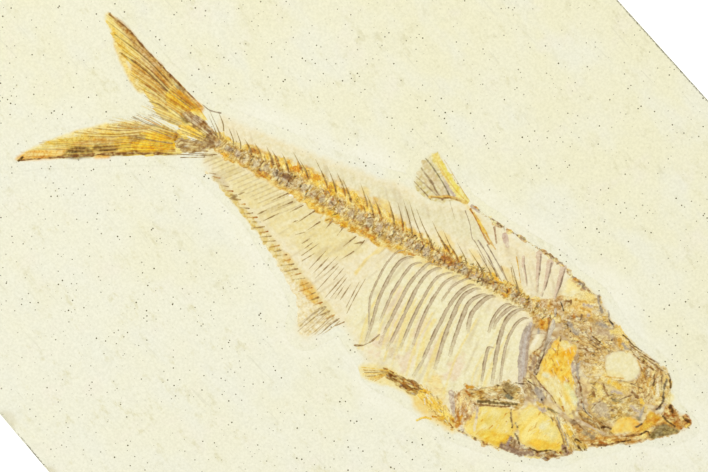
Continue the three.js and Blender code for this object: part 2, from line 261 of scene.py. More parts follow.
def window(points, reach):
    """The part of the grid that holds the points and a margin round them."""
    low = np.min(points, axis=0) - reach
    high = np.max(points, axis=0) + reach
    columns = slice(max(int((low[0] - LEFT) / STEP), 0), max(int((high[0] - LEFT) / STEP) + 2, 0))
    rows = slice(max(int((low[1] - LOW) / STEP), 0), max(int((high[1] - LOW) / STEP) + 2, 0))
    return rows, columns


def closed(outline):
    """A smooth ring through an outline's points."""
    return smooth_line(list(outline) + [outline[0]], 4)


class Relief:
    """Height in mm over the slab's face, and a colour, at every grid point."""

    def __init__(self, ground=None):
        self.height = np.full(GRID_X.shape, EMPTY)
        self.colour = np.tile(linear("stone"), GRID_X.shape + (1,)) if ground is None else ground.copy()
        self.cover = np.full(GRID_X.shape, 0.0 if ground is None else 1.0)

    def raise_to(self, area, height, colour, share):
        """Adds a bone. share is how much of its colour shows."""
        share = share[..., None]
        self.colour[area] = self.colour[area] * (1 - share) + colour * share
        self.height[area] = np.maximum(self.height[area], height)

    def tint(self, area, amount, colour):
        """Lays a colour over what is there."""
        amount = np.clip(amount, 0, 1)
        old = self.cover[area] * (1 - amount)
        cover = old + amount
        share = (amount / np.maximum(cover, 1e-6))[..., None]
        self.colour[area] = self.colour[area] * (1 - share) + colour * share
        self.cover[area] = cover


def deepen(colour, amount):
    """Deeper and richer where amount is above 0. Paler, but no less yellow, where it is below."""
    amount = np.clip(amount, -0.7, 3)[..., None]
    return colour ** (1 + np.where(amount < 0, amount * (1, 1, 0.65), amount))


def stroke(relief, points, width, height, colour, rough=0.25, shade=0.4, opacity=1.0):
    """A long bone: widths and opacities are spread evenly along the line."""
    line = smooth_line(points)
    widths = np.atleast_1d(width)
    opacities = np.atleast_1d(opacity)
    area = window(line, widths.max() * 0.8 + 0.15)
    distance, share = nearest_on_line(line, GRID_X[area], GRID_Y[area])
    half = np.interp(share, np.linspace(0, 1, len(widths)), widths) / 2
    half = np.maximum(half * (1 + rough * 1.6 * BUMPS[area]), 0.03)
    top = height * (1 - (distance / half) ** 2)
    tone = deepen(linear(colour), shade * GRAIN[area])
    shows = np.interp(share, np.linspace(0, 1, len(opacities)), opacities)
    top = np.maximum(top * np.sqrt(shows), EMPTY)
    relief.raise_to(area, top, tone, shows * ease(half - distance, -0.06, 0.08))


def flaked(area, colour, contrast, size, seed, turn=0, stretch=1.0, creases=0.5):
    """The colour of crushed bone: flakes deeper and paler than its own, with dark creases between them."""
    u, v = turned(GRID_X[area], GRID_Y[area], turn)
    u = u / stretch
    flakes = 2.2 * rough_noise(u, v, size, seed)
    warmth = np.clip(rough_noise(u, v, size * 2, seed + 200) + 0.2, -0.1, 1)[..., None]
    crease = creases * (1 - ease(np.abs(rough_noise(u, v, size * 1.4, seed + 300, 2)), 0.03, 0.16))
    tone = deepen(linear(colour), contrast * flakes + 1.2 * crease)
    tone = tone * np.exp(warmth * (0.08, -0.04, -0.6))
    return tone * (1 - crease[..., None] * (0.3, 0.4, 0.45)), flakes + crease


def mottle(
    relief, outline, colour, contrast, size, seed, turn=0, stretch=1.0, height=0.1, soft=0.4, creases=0.5
):
    """A patch of crushed bone."""
    curve = closed(outline)
    area = window(curve, 1.0)
    tone, dips = flaked(area, colour, contrast, size, seed, turn, stretch, creases)
    depth = depth_inside(curve, GRID_X[area], GRID_Y[area]) + soft * (0.9 * BUMPS[area] + 0.3 * dips)
    top = height * (1 - 0.3 * dips) * ease(depth, -soft, soft * 1.5) - 0.06 * (1 - ease(depth, -soft, 0))
    relief.raise_to(area, np.where(depth > -soft, top, EMPTY), tone, ease(depth, -soft, soft))


def crumbs(relief, outline, count, length, width, height, colours, seed, turn=0, spread=90):
    """Short splinters of bone strewn over an area, turned by degrees give or take spread."""
    random = np.random.default_rng(seed)
    curve = closed(outline)
    # Three tries for each crumb, as some fall outside
    x, y = random.uniform(curve.min(0), curve.max(0), (count * 3, 2)).T
    inside = depth_inside(curve, x, y) > 0
    for x, y in list(zip(x[inside], y[inside]))[:count]:
        angle = math.radians(turn + random.uniform(-spread, spread))
        reach = length * random.uniform(0.3, 1) / 2
        dx, dy = reach * math.cos(angle), reach * math.sin(angle)
        line = [(x - dx, y - dy), (x, y), (x + dx, y + dy)]
        colour = colours[random.integers(len(colours))]
        wide = width * random.uniform(0.6, 1.2)
        stroke(relief, line, wide, height, colour, 0.9, 0.4, random.uniform(0.3, 1.0))


def rays(relief, start, end, count, width, colours, seed, bow=0.0):
    """Thin rays from one line to another. bow bends them all to one side."""
    random = np.random.default_rng(seed)
    start, end = smooth_line(start), smooth_line(end)
    for k in range(count):
        share = (k + random.uniform(0.1, 0.9)) / count
        a, b = point_on(start, share), point_on(end, share)
        b = a + (b - a) * random.uniform(0.8, 1.05)
        aside = np.array([a[1] - b[1], b[0] - a[0]]) * bow
        line = [a, (a + b) / 2 + aside + random.normal(0, 0.12, 2), b]
        size = width * random.uniform(0.6, 1.3)
        colour = colours[random.integers(len(colours))]
        stroke(relief, line, [size, size, size * 0.6], 0.1, colour, 0.4, 0.3, random.uniform(0.35, 0.9))


def painted(area, colour, texture):
    """A stain's colour, lightly grained, or flaked where texture has what flaked takes after it."""
    return flaked(area, colour, *texture)[0] if texture else deepen(linear(colour), 0.2 * GRAIN[area])


def wash(relief, x, y, reach_x, reach_y, turn, colour, strength, ragged=0.5, texture=()):
    """A soft stain, turned by degrees."""
    area = window([[x, y]], max(reach_x, reach_y) * 1.5)
    dx, dy = turned(GRID_X[area] - x, GRID_Y[area] - y, turn)
    radius = np.hypot(dx / reach_x, dy / reach_y)
    amount = strength * ease(1.15 - radius + ragged * (0.5 * BUMPS[area] + 0.4 * PATCHES[area]), 0, 0.6)
    relief.tint(area, amount, painted(area, colour, texture))


def wash_line(relief, points, width, colour, strength, ragged=0.5, texture=()):
    """A soft stain along a line."""
    line = smooth_line(points, 4)
    widths = np.atleast_1d(width)
    area = window(line, widths.max() * 1.2)
    distance, share = nearest_on_line(line, GRID_X[area], GRID_Y[area])
    half = np.interp(share, np.linspace(0, 1, len(widths)), widths) / 2
    edge = 1.2 - distance / half + ragged * (0.6 * BUMPS[area] + 0.4 * PATCHES[area])
    relief.tint(area, strength * ease(edge, 0, 0.7), painted(area, colour, texture))


def wash_area(relief, outline, colour, strength, soft=0.8, ragged=0.5, texture=()):
    """A soft stain inside an outline."""
    curve = closed(outline)
    area = window(curve, soft * 2)
    depth = depth_inside(curve, GRID_X[area], GRID_Y[area])
    depth = depth + ragged * soft * (0.7 * BUMPS[area] + 0.7 * PATCHES[area])
    relief.tint(area, strength * ease(depth, -soft * 0.5, soft), painted(area, colour, texture))


def mark(relief, colour, width, *points):
    """A spot or a line of colour, which stands up a little where there is bone."""
    line = smooth_line(points if len(points) > 1 else points * 2, 4)
    area = window(line, width)
    distance, _ = nearest_on_line(line, GRID_X[area], GRID_Y[area])
    amount = 0.95 * ease(1 + 0.35 * GRAIN[area] + 0.35 * BUMPS[area] - 2 * distance / width, -0.2, 0.6)
    relief.tint(area, amount, deepen(linear(colour), 0.3 * GRAIN[area]))
    relief.height[area] += 0.04 * amount * (relief.height[area] > 0)


# ---------------------------------------------------------------- materials


class Graph:
    """A short way to write a material's nodes."""

    def __init__(self, name):
        self.material = bpy.data.materials.new(name)
        self.material.use_nodes = True
        self.tree = self.material.node_tree
        self.surface = self.tree.nodes["Principled BSDF"]
        coordinates = self.tree.nodes.new("ShaderNodeTexCoord")
        scale = self.tree.nodes.new("ShaderNodeVectorMath")
        scale.operation = "SCALE"
        scale.inputs["Scale"].default_value = 1 / MM
        self.tree.links.new(coordinates.outputs["Object"], scale.inputs[0])
        self.place = scale.outputs[0]

    def feed(self, socket, value):
        """Links another node's output, or sets a constant."""
        if isinstance(value, bpy.types.NodeSocket):
            self.tree.links.new(value, socket)
        elif isinstance(value, (tuple, list, np.ndarray)):
            opaque = len(value) == 3 and socket.type == "RGBA"
            socket.default_value = (*value, 1) if opaque else tuple(value)
        else:
            socket.default_value = value

    def noise(self, size, detail=3, stretch=(1, 1, 1), roughness=0.55):
        """Noise whose bumps are about size mm across, and narrower along an axis with a larger stretch."""
        place = self.place
        if stretch != (1, 1, 1):
            mapping = self.tree.nodes.new("ShaderNodeMapping")
            mapping.inputs["Scale"].default_value = stretch
            self.feed(mapping.inputs["Vector"], place)
            place = mapping.outputs[0]
        node = self.tree.nodes.new("ShaderNodeTexNoise")
        self.feed(node.inputs["Vector"], place)
        self.feed(node.inputs["Scale"], 1 / size)
        self.feed(node.inputs["Detail"], detail)
        self.feed(node.inputs["Roughness"], roughness)
        return node.outputs["Fac"]

    def ramp(self, value, low, high, to_low=0.0, to_high=1.0):
        """Goes smoothly from to_low to to_high while the value goes from low to high."""
        node = self.tree.nodes.new("ShaderNodeMapRange")
        node.interpolation_type = "SMOOTHSTEP"
        names = ("Value", "From Min", "From Max", "To Min", "To Max")
        for name, number in zip(names, (value, low, high, to_low, to_high)):
            self.feed(node.inputs[name], number)
        return node.outputs[0]

    def maths(self, operation, a, b=0.0):
        node = self.tree.nodes.new("ShaderNodeMath")
        node.operation = operation
        self.feed(node.inputs[0], a)
        self.feed(node.inputs[1], b)
        return node.outputs[0]

    def mix(self, amount, a, b, blend="MIX"):
        node = self.tree.nodes.new("ShaderNodeMix")
        node.data_type = "RGBA"
        node.blend_type = blend
        colours = [socket for socket in node.inputs if socket.type == "RGBA"]
        self.feed(node.inputs[0], amount)
        self.feed(colours[0], a)
        self.feed(colours[1], b)
        return next(socket for socket in node.outputs if socket.type == "RGBA")

    def attribute(self, name):
        node = self.tree.nodes.new("ShaderNodeAttribute")
        node.attribute_name = name
        return node

    def specks(self, spacing, radius, share):
        """Round specks of mixed sizes, 1 at their centres. share is how many of the cells have one."""
        node = self.tree.nodes.new("ShaderNodeTexVoronoi")
        self.feed(node.inputs["Vector"], self.place)
        self.feed(node.inputs["Scale"], 1 / spacing)
        pick = self.tree.nodes.new("ShaderNodeSeparateColor")
        self.feed(pick.inputs[0], node.outputs["Color"])
        size = self.maths("MULTIPLY", self.ramp(pick.outputs[0], 1 - share, 1.0), radius / spacing)
        inside = self.maths("SUBTRACT", size, node.outputs["Distance"])
        return self.ramp(inside, 0.0, 0.25 * radius / spacing)

    def bump(self, height, strength, distance):
        node = self.tree.nodes.new("ShaderNodeBump")
        self.feed(node.inputs["Height"], height)
        self.feed(node.inputs["Strength"], strength)
        self.feed(node.inputs["Distance"], distance * MM)
        self.feed(self.surface.inputs["Normal"], node.outputs[0])

    def finish(self, colour, roughness, specular):
        self.feed(self.surface.inputs["Base Color"], colour)
        self.feed(self.surface.inputs["Roughness"], roughness)
        self.feed(self.surface.inputs["Specular IOR Level"], specular)
        return self.material


def stone_colour(graph):
    """Cream limestone: yellower towards one corner, faintly clouded, with dark specks in loose swarms."""
    along = graph.tree.nodes.new("ShaderNodeVectorMath")
    along.operation = "DOT_PRODUCT"
    graph.feed(along.inputs[0], graph.place)
    graph.feed(along.inputs[1], (-0.31, 0.95, 0))
    clouds = graph.ramp(graph.noise(13, 4), 0.35, 0.65, -25, 25)
    side = graph.ramp(graph.maths("ADD", along.outputs["Value"], clouds), -60, 70)
    colour = graph.mix(side, linear((0.957, 0.950, 0.862)), linear((0.953, 0.938, 0.806)))
    blush = graph.ramp(graph.noise(6, 3, (1.3, 0.9, 1.1)), 0.52, 0.75, 0, 0.45)
    colour = graph.mix(blush, colour, linear((0.962, 0.938, 0.862)))
    smudge = graph.ramp(graph.noise(2.2, 6, (0.8, 1.2, 1), 0.7), 0.54, 0.72, 0, 0.85)
    colour = graph.mix(smudge, colour, linear((0.890, 0.870, 0.725)))
    cool = graph.ramp(graph.noise(9, 4, (0.7, 1.2, 1)), 0.45, 0.70, 0, 0.6)
    colour = graph.mix(cool, colour, linear((0.950, 0.948, 0.880)))
    sand = graph.ramp(graph.noise(0.42, 4, roughness=0.7), 0.3, 0.7)
    colour = graph.mix(1.0, colour, graph.mix(sand, (0.925, 0.925, 0.91), (1.035, 1.035, 1.03)), "MULTIPLY")
    scratch = graph.ramp(graph.noise(1.1, 2, (0.12, 1.6, 1)), 0.66, 0.74, 0, 0.35)
    colour = graph.mix(scratch, colour, linear((0.85, 0.84, 0.74)))
    swarm = graph.ramp(graph.noise(5, 3), 0.40, 0.58, 0.15, 1)
    specks = graph.maths("MULTIPLY", graph.specks(0.7, 0.15, 0.9), swarm)
    return graph.mix(specks, colour, linear((0.38, 0.34, 0.22)))


def limestone(name, saw_lines=0.0):
    """The stone under its stains. saw_lines is how deep the blade's marks are, in mm."""
    graph = Graph(name)
    colour = stone_colour(graph)
    stain = graph.attribute("stain")
    breakup = graph.ramp(graph.noise(0.7, 3), 0.2, 0.8, 0.9, 1.0)
    cover = graph.maths("MULTIPLY", graph.attribute("cover").outputs["Fac"], breakup)
    sand = graph.ramp(graph.noise(0.35, 3), 0.25, 0.75)
    sand = graph.mix(sand, (0.94, 0.93, 0.90), (1.06, 1.06, 1.08))
    tinted = graph.mix(1.0, stain.outputs["Color"], sand, "MULTIPLY")
    colour = graph.mix(cover, colour, tinted)
    relief = graph.maths("ADD", graph.noise(0.5, 4), graph.maths("MULTIPLY", graph.noise(3.0, 3), 1.5))
    if saw_lines:
        lines = graph.noise(1.0, 2, (0.02, 0.02, 2.6))
        relief = graph.maths("ADD", relief, graph.maths("MULTIPLY", lines, 1.6))
        colour = graph.mix(graph.ramp(lines, 0.4, 0.7, 0, 0.6), colour, linear((0.88, 0.85, 0.72)))
        colour = graph.mix(1.0, colour, (0.90, 0.895, 0.87), "MULTIPLY")
    graph.bump(relief, 0.35, 0.12 + saw_lines)
    return graph.finish(colour, 0.86, 0.2)


def fossil_bone(name, gloss, dust, pitted):
    """Mineralised bone: its own colour, broken by fine dark pores and by stone that still clings to it."""
    graph = Graph(name)
    own = graph.attribute("stain").outputs["Color"]
    pores = graph.ramp(graph.noise(0.26, 3, roughness=0.7), 0.3, 0.7)
    deep = 1 - pitted * np.array((0.20, 0.27, 0.38))
    lit = 1 + pitted * np.array((0.14, 0.12, 0.04))
    colour = graph.mix(1.0, own, graph.mix(pores, deep, lit), "MULTIPLY")
    clinging = graph.ramp(graph.noise(0.5, 4, roughness=0.7), 0.62 - 0.1 * dust, 0.74, 0, dust)
    colour = graph.mix(clinging, colour, linear("skin"))
    graph.bump(graph.noise(0.28, 4), 0.35, 0.08)
    return graph.finish(colour, gloss, 0.12)


MATERIALS = {
    "limestone": limestone("limestone_face"),
    "sawn": limestone("limestone_sawn", 0.05),
    "brown_bone": fossil_bone("bone_brown", 0.6, 0.15, 0.9),
    "grey_bone": fossil_bone("bone_grey", 0.65, 0.15, 0.5),
    "amber_bone": fossil_bone("bone_amber", 0.55, 0.1, 0.4),
}


# ---------------------------------------------------------------- meshes


def fish_to_row(x, y):
    """From the fish's frame to the frame that all parts share, in mm."""
    c, s = math.cos(FISH_TURN), math.sin(FISH_TURN)
    return x * c - y * s, x * s + y * c + FISH_CENTRE_Y


def row_to_fish(x, y):
    c, s = math.cos(FISH_TURN), math.sin(FISH_TURN)
    y = y - FISH_CENTRE_Y
    return x * c + y * s, y * c - x * s


def grid_quads(index):
    """The four-sided faces between the points of a grid."""
    return np.stack([index[:-1, :-1], index[:-1, 1:], index[1:, 1:], index[1:, :-1]], -1)


def make_mesh(name, points, quads, colour, cover, material):
    """A piece from points in mm. Its colour shows where cover is 1, and the stone's where it is 0."""
    mesh = bpy.data.meshes.new(name)
    mesh.vertices.add(len(points))
    mesh.vertices.foreach_set("co", (points * MM).ravel())
    mesh.loops.add(quads.size)
    mesh.loops.foreach_set("vertex_index", quads.ravel())
    mesh.polygons.add(len(quads))
    mesh.polygons.foreach_set("loop_start", np.arange(0, quads.size, 4))
    mesh.update(calc_edges=True)
    mesh.shade_smooth()
    stain = mesh.attributes.new("stain", "FLOAT_COLOR", "POINT")
    stain.data.foreach_set("color", np.column_stack([colour, np.ones(len(points))]).ravel())
    amount = mesh.attributes.new("cover", "FLOAT", "POINT")
    amount.data.foreach_set("value", np.ascontiguousarray(cover, float))
    mesh.materials.append(MATERIALS[material])
    piece = bpy.data.objects.new(name, mesh)
    bpy.context.collection.objects.link(piece)
    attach(piece, "root")
    return piece


def mesh_relief(name, relief, material, stride=1):
    """Makes every stride-th point of a relief into a piece, whose edge dips below the slab's face."""
    rows = slice(None, None, stride)
    height = relief.height[rows, rows]
    x, y = GRID_X[rows, rows], GRID_Y[rows, rows]
    shown = height > 0
    near = shown.copy()
    near[1:] |= shown[:-1]
    near[:-1] |= shown[1:]
    near[:, 1:] |= near[:, :-1].copy()
    near[:, :-1] |= near[:, 1:].copy()
    full = near[:-1, :-1] & near[:-1, 1:] & near[1:, :-1] & near[1:, 1:]
    index = np.arange(near.size).reshape(near.shape)
    quads = grid_quads(index)[full]
    used, quads = np.unique(quads, return_inverse=True)
    quads = quads.reshape(-1, 4)
    x, y = x.ravel()[used], y.ravel()[used]
    z = SLAB_TOP + bed(x, y) + np.clip(height.ravel()[used], EDGE_DIP, None)
    row_x, row_y = fish_to_row(x, y)
    colour = relief.colour[rows, rows].reshape(-1, 3)[used]
    cover = relief.cover[rows, rows].ravel()[used]
    return make_mesh(name, np.column_stack([row_x, row_y, z]), quads, colour, cover, material)


def bone(node, draw, material, *extra, finish=None):
    """One bone node's piece: draw fills in its relief, and finish goes over it."""
    relief = Relief(GROUND)
    draw(relief, *extra)
    if finish:
        finish(relief)
    piece = mesh_relief(node + "_bone", relief, material)
    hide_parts(node)


# ---------------------------------------------------------------- outlines in mm, in the fish's frame

BACK_LINE = [
    (-28, 6.3), (-22, 7), (-15, 8), (-10, 8.6), (-5, 9.6), (0, 10.5), (4, 11.5), (7.7, 11), (12.5, 13.5),
    (16.5, 13.3), (25, 13), (30.5, 12.8), (33.5, 11.8), (38.5, 11.3), (43.5, 8.8), (47, 7.4), (54.5, 6),
    (57, 2), (61.5, 0.5),
]
BELLY_LINE = [
    (61.3, -0.5), (59, -3), (55, -5), (52, -8.3), (48.3, -11.5), (46.5, -13.8), (44, -15.3), (40, -16.8),
    (36, -18), (30, -19), (25, -18.5), (20, -18), (14, -18), (12, -16.5), (9, -15), (5.5, -13.5),
    (3.5, -15.5), (2, -18), (0.5, -18.5), (-1, -17), (-2, -14), (-5, -11.5), (-10, -9), (-15, -6),
    (-20, -4.5), (-27, -2),
]
BODY_OUTLINE = BACK_LINE + BELLY_LINE
COLUMN = [(-27, 1.9), (-10, 2.6), (8, 3.4), (22, 4.3), (31, 4.6), (35, 5.2)]
TAIL_UPPER = [
    (-29.5, 4.3), (-33, 6.1), (-38, 7.5), (-44, 9.3), (-48, 10.7), (-52, 11.2), (-51, 9.4), (-45, 5.8),
    (-40, 2.8), (-36, 0.9), (-32, 1.6),
]
TAIL_LOWER = [
    (-30.5, 0.4), (-34, 0.3), (-37, -0.8), (-42, -4.4), (-47, -9), (-51.5, -13), (-52.7, -16.5),
    (-50, -14.6), (-44, -10.9), (-36, -5.8), (-30.5, -2.7),
]
DORSAL = [
    (12.6, 13.7), (8, 16.4), (4.8, 18.4), (3.7, 16.3), (3.7, 13.2), (4.6, 11.4), (8.6, 11), (10.8, 12.4),
]
HEAD = [
    (33, 9.4), (36, 10.2), (38.5, 11.2), (42.8, 8.9), (47, 7.5), (54.5, 6.2), (56.6, 3), (57.5, 1.4),
    (60.5, 1.5), (61.5, 0.5), (60.5, -1.5), (57.5, -4), (54.5, -6), (52, -8.3), (48.3, -11.5),
    (46.5, -13.6), (43, -15.4), (39, -17), (36.5, -17.8), (37, -14), (35.5, -8), (33, -4), (31, 1), (32, 4),
]
EYE = [
    (44.7, 3.4), (45.8, 5.2), (47.8, 5.9), (49.8, 5.1), (50.5, 3.4), (49.6, 1.6), (47.6, 0.9), (45.6, 1.5),
]


# ---------------------------------------------------------------- stains and skin


def body_stains(map_):
    """The skin: greyer along the back, straw-coloured towards the tail and paler over the ribs."""
    wash_area(map_, BODY_OUTLINE, "skin", 0.95, 1.1, 0.4)
    back = [
        (-24, 5.5), (-10, 7.8), (0, 9.6), (8, 10.6), (13, 12.4), (18, 12), (20, 9.6), (10, 7), (0, 6.4),
        (-14, 5.6),
    ]
    wash_area(map_, back, (0.905, 0.875, 0.715), 0.8, 1.5)
    rear = [(-27, 1), (-10, 1), (3, 0), (-2, -6), (-12, -6), (-25, -2.2)]
    wash_area(map_, rear, (0.925, 0.86, 0.60), 0.8, 1.5)
    flank = [(6, 0), (30, 1), (33, -8), (24, -16), (12, -15), (5, -11)]
    wash_area(map_, flank, (0.945, 0.925, 0.745), 0.6, 2.0)


def crust_stains(map_):
    """The crushed bone above and below the backbone, and yellow spots over it."""
    wash_line(map_, [(-27, 2.2), (-10, 3), (8, 3.4), (31, 4.6)], [2.6, 5.6, 5.0, 3.0], "straw", 0.8)
    crushed = (0.5, 0.5, 45, -40, 1.4, 0.4)
    crust = (0.92, 0.80, 0.46)
    above = [(-22, 3.9), (-15, 4.4), (-6, 5), (2, 5.4), (9, 5.4)]
    below = [(-25, 1.0), (-12, 1.1), (-4, 1.1), (7, 1.4)]
    wash_line(map_, above, [1.0, 1.8, 2.8, 2.8, 1.2], crust, 0.85, 1.2, crushed)
    wash_line(map_, below, [1.0, 1.4, 1.8, 1.4], crust, 0.85, 0.9, crushed)
    for x, y, reach in (
        (22, 5.8, 2), (25.5, 6.6, 2.4), (13, 7, 2), (18.6, 6.8, 1.6), (2, 6.8, 1.4), (-2, 7, 1.2)
    ):
        wash(map_, x, y, reach, 0.7, -20, "yellow", 0.5, 1.0)


def belly_stain(map_):
    """A yellow patch on the belly's edge."""
    patch = [(21, -15.6), (26, -16.2), (30, -17.8), (29.5, -19.3), (23, -19.4), (20.5, -17.6)]
    wash_area(map_, patch, "yellow", 0.8, 0.9)


def head_stains(map_):
    """The tan head, its yellow plates and its pale eye socket."""
    wash_area(map_, HEAD, "tan", 0.9, 0.7, 0.4, (0.6, 0.8, 46, 20, 1.4, 0.45))
    nape = [(33, 8.4), (34.4, 8.2), (38, 10.4), (37, 11.6), (33, 11)]
    wash_area(map_, nape, (0.94, 0.89, 0.70), 0.8, 0.6)
    shoulder = [(33.2, 1.6), (34.6, 1.0), (34.8, -0.6), (33.6, -2.6), (33, 0)]
    wash_area(map_, shoulder, (0.94, 0.89, 0.70), 0.8, 0.4)
    wash_area(map_, EYE, (0.941, 0.903, 0.715), 1.0, 0.3, 0.6)
    wash(map_, 43.8, 2.6, 0.7, 1.0, 0, "skin", 0.7, 0.8)
    rear_plate = [(31, -13), (36, -11), (38, -13), (38, -17.5), (33, -18.6), (30, -17.5)]
    front_plate = [(37.5, -9), (43, -9), (46, -11.5), (45.5, -13.5), (42, -15.2), (38.5, -14.6)]
    for plate in (rear_plate, front_plate):
        wash_area(map_, plate, "yellow", 0.95, 0.6)
    wash(map_, 44.5, 7.2, 1.0, 0.8, 0, "yellow", 0.8)


def rib_smears(map_):
    """Flesh-coloured smears between the ribs."""
    for x, y in (
        (13.4, -9.6), (16.6, -7.6), (20.4, -9.4), (12, -12.4), (17.4, -13.4), (24.4, -10.4), (11, -5.6)
    ):
        wash(map_, x, y, 1.2, 2.6, 8, (0.925, 0.83, 0.705), 0.65, 1.2)


def anal_fin_stains(map_):
    """The anal fin's base, with amber and brown on it, and a yellow streak in front of its supports."""
    base = [(3, -12.6), (-2, -11), (-12, -7.2), (-24, -3)]
    wash_line(map_, base, [2.0, 2.4, 1.6, 0.8], (0.91, 0.83, 0.56), 0.7, 0.6)
    wash(map_, -1.8, -11.2, 2.4, 1.2, -28, "amber", 0.7)
    wash(map_, -7.5, -8.4, 1.6, 0.7, -25, "amber", 0.4)
    wash_line(map_, [(5, 0.6), (3.8, -1.6), (3.2, -5)], [1.0, 0.5, 0.9], (0.95, 0.85, 0.50), 0.7, 0.8)
    wash(map_, -23, -3.0, 2.2, 0.8, -15, "taupe", 0.4)


def fin_stains(map_):
    """The dorsal fin with its supports, and the pelvic fin."""
    wash_area(map_, DORSAL, (0.90, 0.86, 0.68), 0.9, 0.5)
    wash_line(map_, [(4.9, 17.6), (8.1, 15.8), (12.8, 13.7)], [1.0, 1.4, 0.9], "yellow", 0.9, 0.3)
    wash(map_, 1.5, 20, 1.6, 0.7, -40, "skin", 0.5, 1.0)
    wash_line(map_, [(12, 13.6), (16, 12.2), (20, 9.4)], [0.6, 0.9, 0.5], "yellow", 0.4)
    pelvic = [(22, -15.2), (15, -15.2), (10.8, -17.6), (12.5, -19), (18, -18), (22, -17.4)]
    wash_area(map_, pelvic, "straw", 0.8, 0.6)


# Each is a colour and an outline.
TAIL_STAINS = [
    ((0.79, 0.65, 0.44), [
        (-52, 11.3), (-48.6, 11.1), (-44, 9.5), (-40, 8.3), (-40.2, 6.6), (-44, 7.8), (-48, 9.6),
    ]),
    ((0.83, 0.69, 0.50), [(-44.4, 9.3), (-42, 8.8), (-40, 8.1), (-40, 6.3), (-42, 6.6), (-44, 7.8)]),
    ((0.85, 0.71, 0.46), [(-39.9, 8), (-37.8, 7.5), (-37.5, 6), (-39, 5.5), (-40.2, 6.2)]),
    ((0.62, 0.55, 0.44), [(-37.1, 6.9), (-35, 6.8), (-35, 6.1), (-36, 5.8)]),
    ((0.86, 0.69, 0.37), [(-44.6, 7.4), (-40, 6), (-37.6, 5.6), (-38, 4.4), (-44, 5)]),
    ((0.94, 0.76, 0.18), [
        (-37.4, 5.7), (-34.6, 5.5), (-31.8, 4.8), (-33.8, 3.6), (-36, 3.4), (-37.6, 4.2),
    ]),
    ((0.89, 0.67, 0.20), [(-36, 6.5), (-33, 6.3), (-31, 5.9), (-31.2, 4.7), (-34.4, 5.2), (-36.4, 5.6)]),
    ((0.94, 0.84, 0.48), [
        (-50.6, 10), (-46, 7.6), (-44.6, 5.4), (-40, 4.2), (-41, 2.6), (-43.8, 3.6), (-48.4, 7),
    ]),
    ((0.97, 0.80, 0.17), [
        (-31.9, -0.2), (-34.5, -0.4), (-38, -2.8), (-41, -5.6), (-39, -7.2), (-35, -5), (-32, -2.8),
    ]),
    ((0.86, 0.68, 0.36), [(-40.6, -5.4), (-44.4, -7.4), (-46.6, -10), (-44.8, -9.2), (-41.4, -7)]),
    ((0.93, 0.76, 0.46), [(-46.6, -10.6), (-52, -14.2), (-52.8, -16.6), (-47, -12.9)]),
    ((0.95, 0.87, 0.54), [
        (-38.4, -1), (-41.4, -2.6), (-45.2, -5.8), (-50.6, -11.8), (-46.8, -10), (-43, -6.6), (-39, -2.8),
    ]),
    ((0.62, 0.48, 0.29), [(-39.8, -4.2), (-37, -2.5), (-36.8, -3.8), (-38.5, -4.8)]),
    ((0.51, 0.39, 0.18), [(-43.2, -7.6), (-40.2, -6.6), (-39.8, -7.4), (-41.6, -8.6), (-43.2, -8.8)]),
    ((0.48, 0.36, 0.17), [
        (-46.4, -10.4), (-44.8, -9.2), (-42.7, -9.2), (-43, -10.3), (-45.6, -12.2), (-47, -12),
    ]),
    ((0.92, 0.71, 0.28), [(-42.6, -9.4), (-40.4, -8.2), (-40.2, -8.9), (-42, -10)]),
    ((0.60, 0.48, 0.30), [(-30.6, -2.4), (-34.4, -4.2), (-34.8, -4.9), (-31.4, -3.4)]),
    ((0.54, 0.41, 0.20), [(-36.4, -5.2), (-40.4, -7.8), (-40.6, -8.6), (-36.8, -6.2)]),
    ((0.62, 0.42, 0.16), [(-33.4, 0.3), (-32.4, 0.2), (-32.2, -1.3), (-32.7, -1)]),
    ((0.55, 0.44, 0.26), [(-34, 3.5), (-31.6, 3.1), (-32.4, 2), (-33.6, 2.6)]),
]


def tail_stains(map_):
    """The tail's colours: amber at its root, brown across its middle and along its leading edges."""
    for lobe in (TAIL_UPPER, TAIL_LOWER):
        wash_area(map_, lobe, "straw", 0.95, 0.5, 0.4)
    wash_line(map_, [(-31, 2.0), (-29, 1.6)], 1.4, "yellow", 0.8)
    for colour, outline in TAIL_STAINS:
        wash_area(map_, outline, np.array(colour) ** 0.85, 0.9, 0.4, 0.5, (0.3, 0.4, 47, 10))


def stain_map():
    """The large stains that skin and bones share."""
    map_ = Relief()
    body_stains(map_)
    crust_stains(map_)
    belly_stain(map_)
    head_stains(map_)
    rib_smears(map_)
    anal_fin_stains(map_)
    tail_stains(map_)
    fin_stains(map_)
    return map_


FILM_TOP = 0.03  # mm over the slab's face
FILM_SUNK = 0.02  # mm under it, round its edge
FILM_STRIDE = 2  # it has every second point of the grid
STAINS = stain_map()
# The stains over plain stone, which every bone is drawn on
GROUND = linear("stone") * (1 - STAINS.cover[..., None]) + STAINS.colour * STAINS.cover[..., None]


def film():
    """The flattened skin, a stain so thin that its edge can't be felt."""
    relief = Relief()
    relief.colour = STAINS.colour.copy()
    relief.cover = STAINS.cover.copy()
    fibres(relief)
    faint_lines(relief)
    mark_head(relief)
    rows = slice(None, None, FILM_STRIDE)
    x, y = GRID_X[rows, rows], GRID_Y[rows, rows]
    reach = np.zeros(x.shape)
    tail_root = [(-33, 3), (-26, 5), (-26, -2), (-33, -3)]
    for outline in (BODY_OUTLINE, TAIL_UPPER, TAIL_LOWER, DORSAL, tail_root):
        reach = np.maximum(reach, ease(depth_inside(closed(outline), x, y), -2.4, -0.4))
    relief.height[rows, rows] = FILM_TOP * reach - FILM_SUNK * (1 - reach)
    mesh_relief("skin_film", relief, "limestone", FILM_STRIDE)


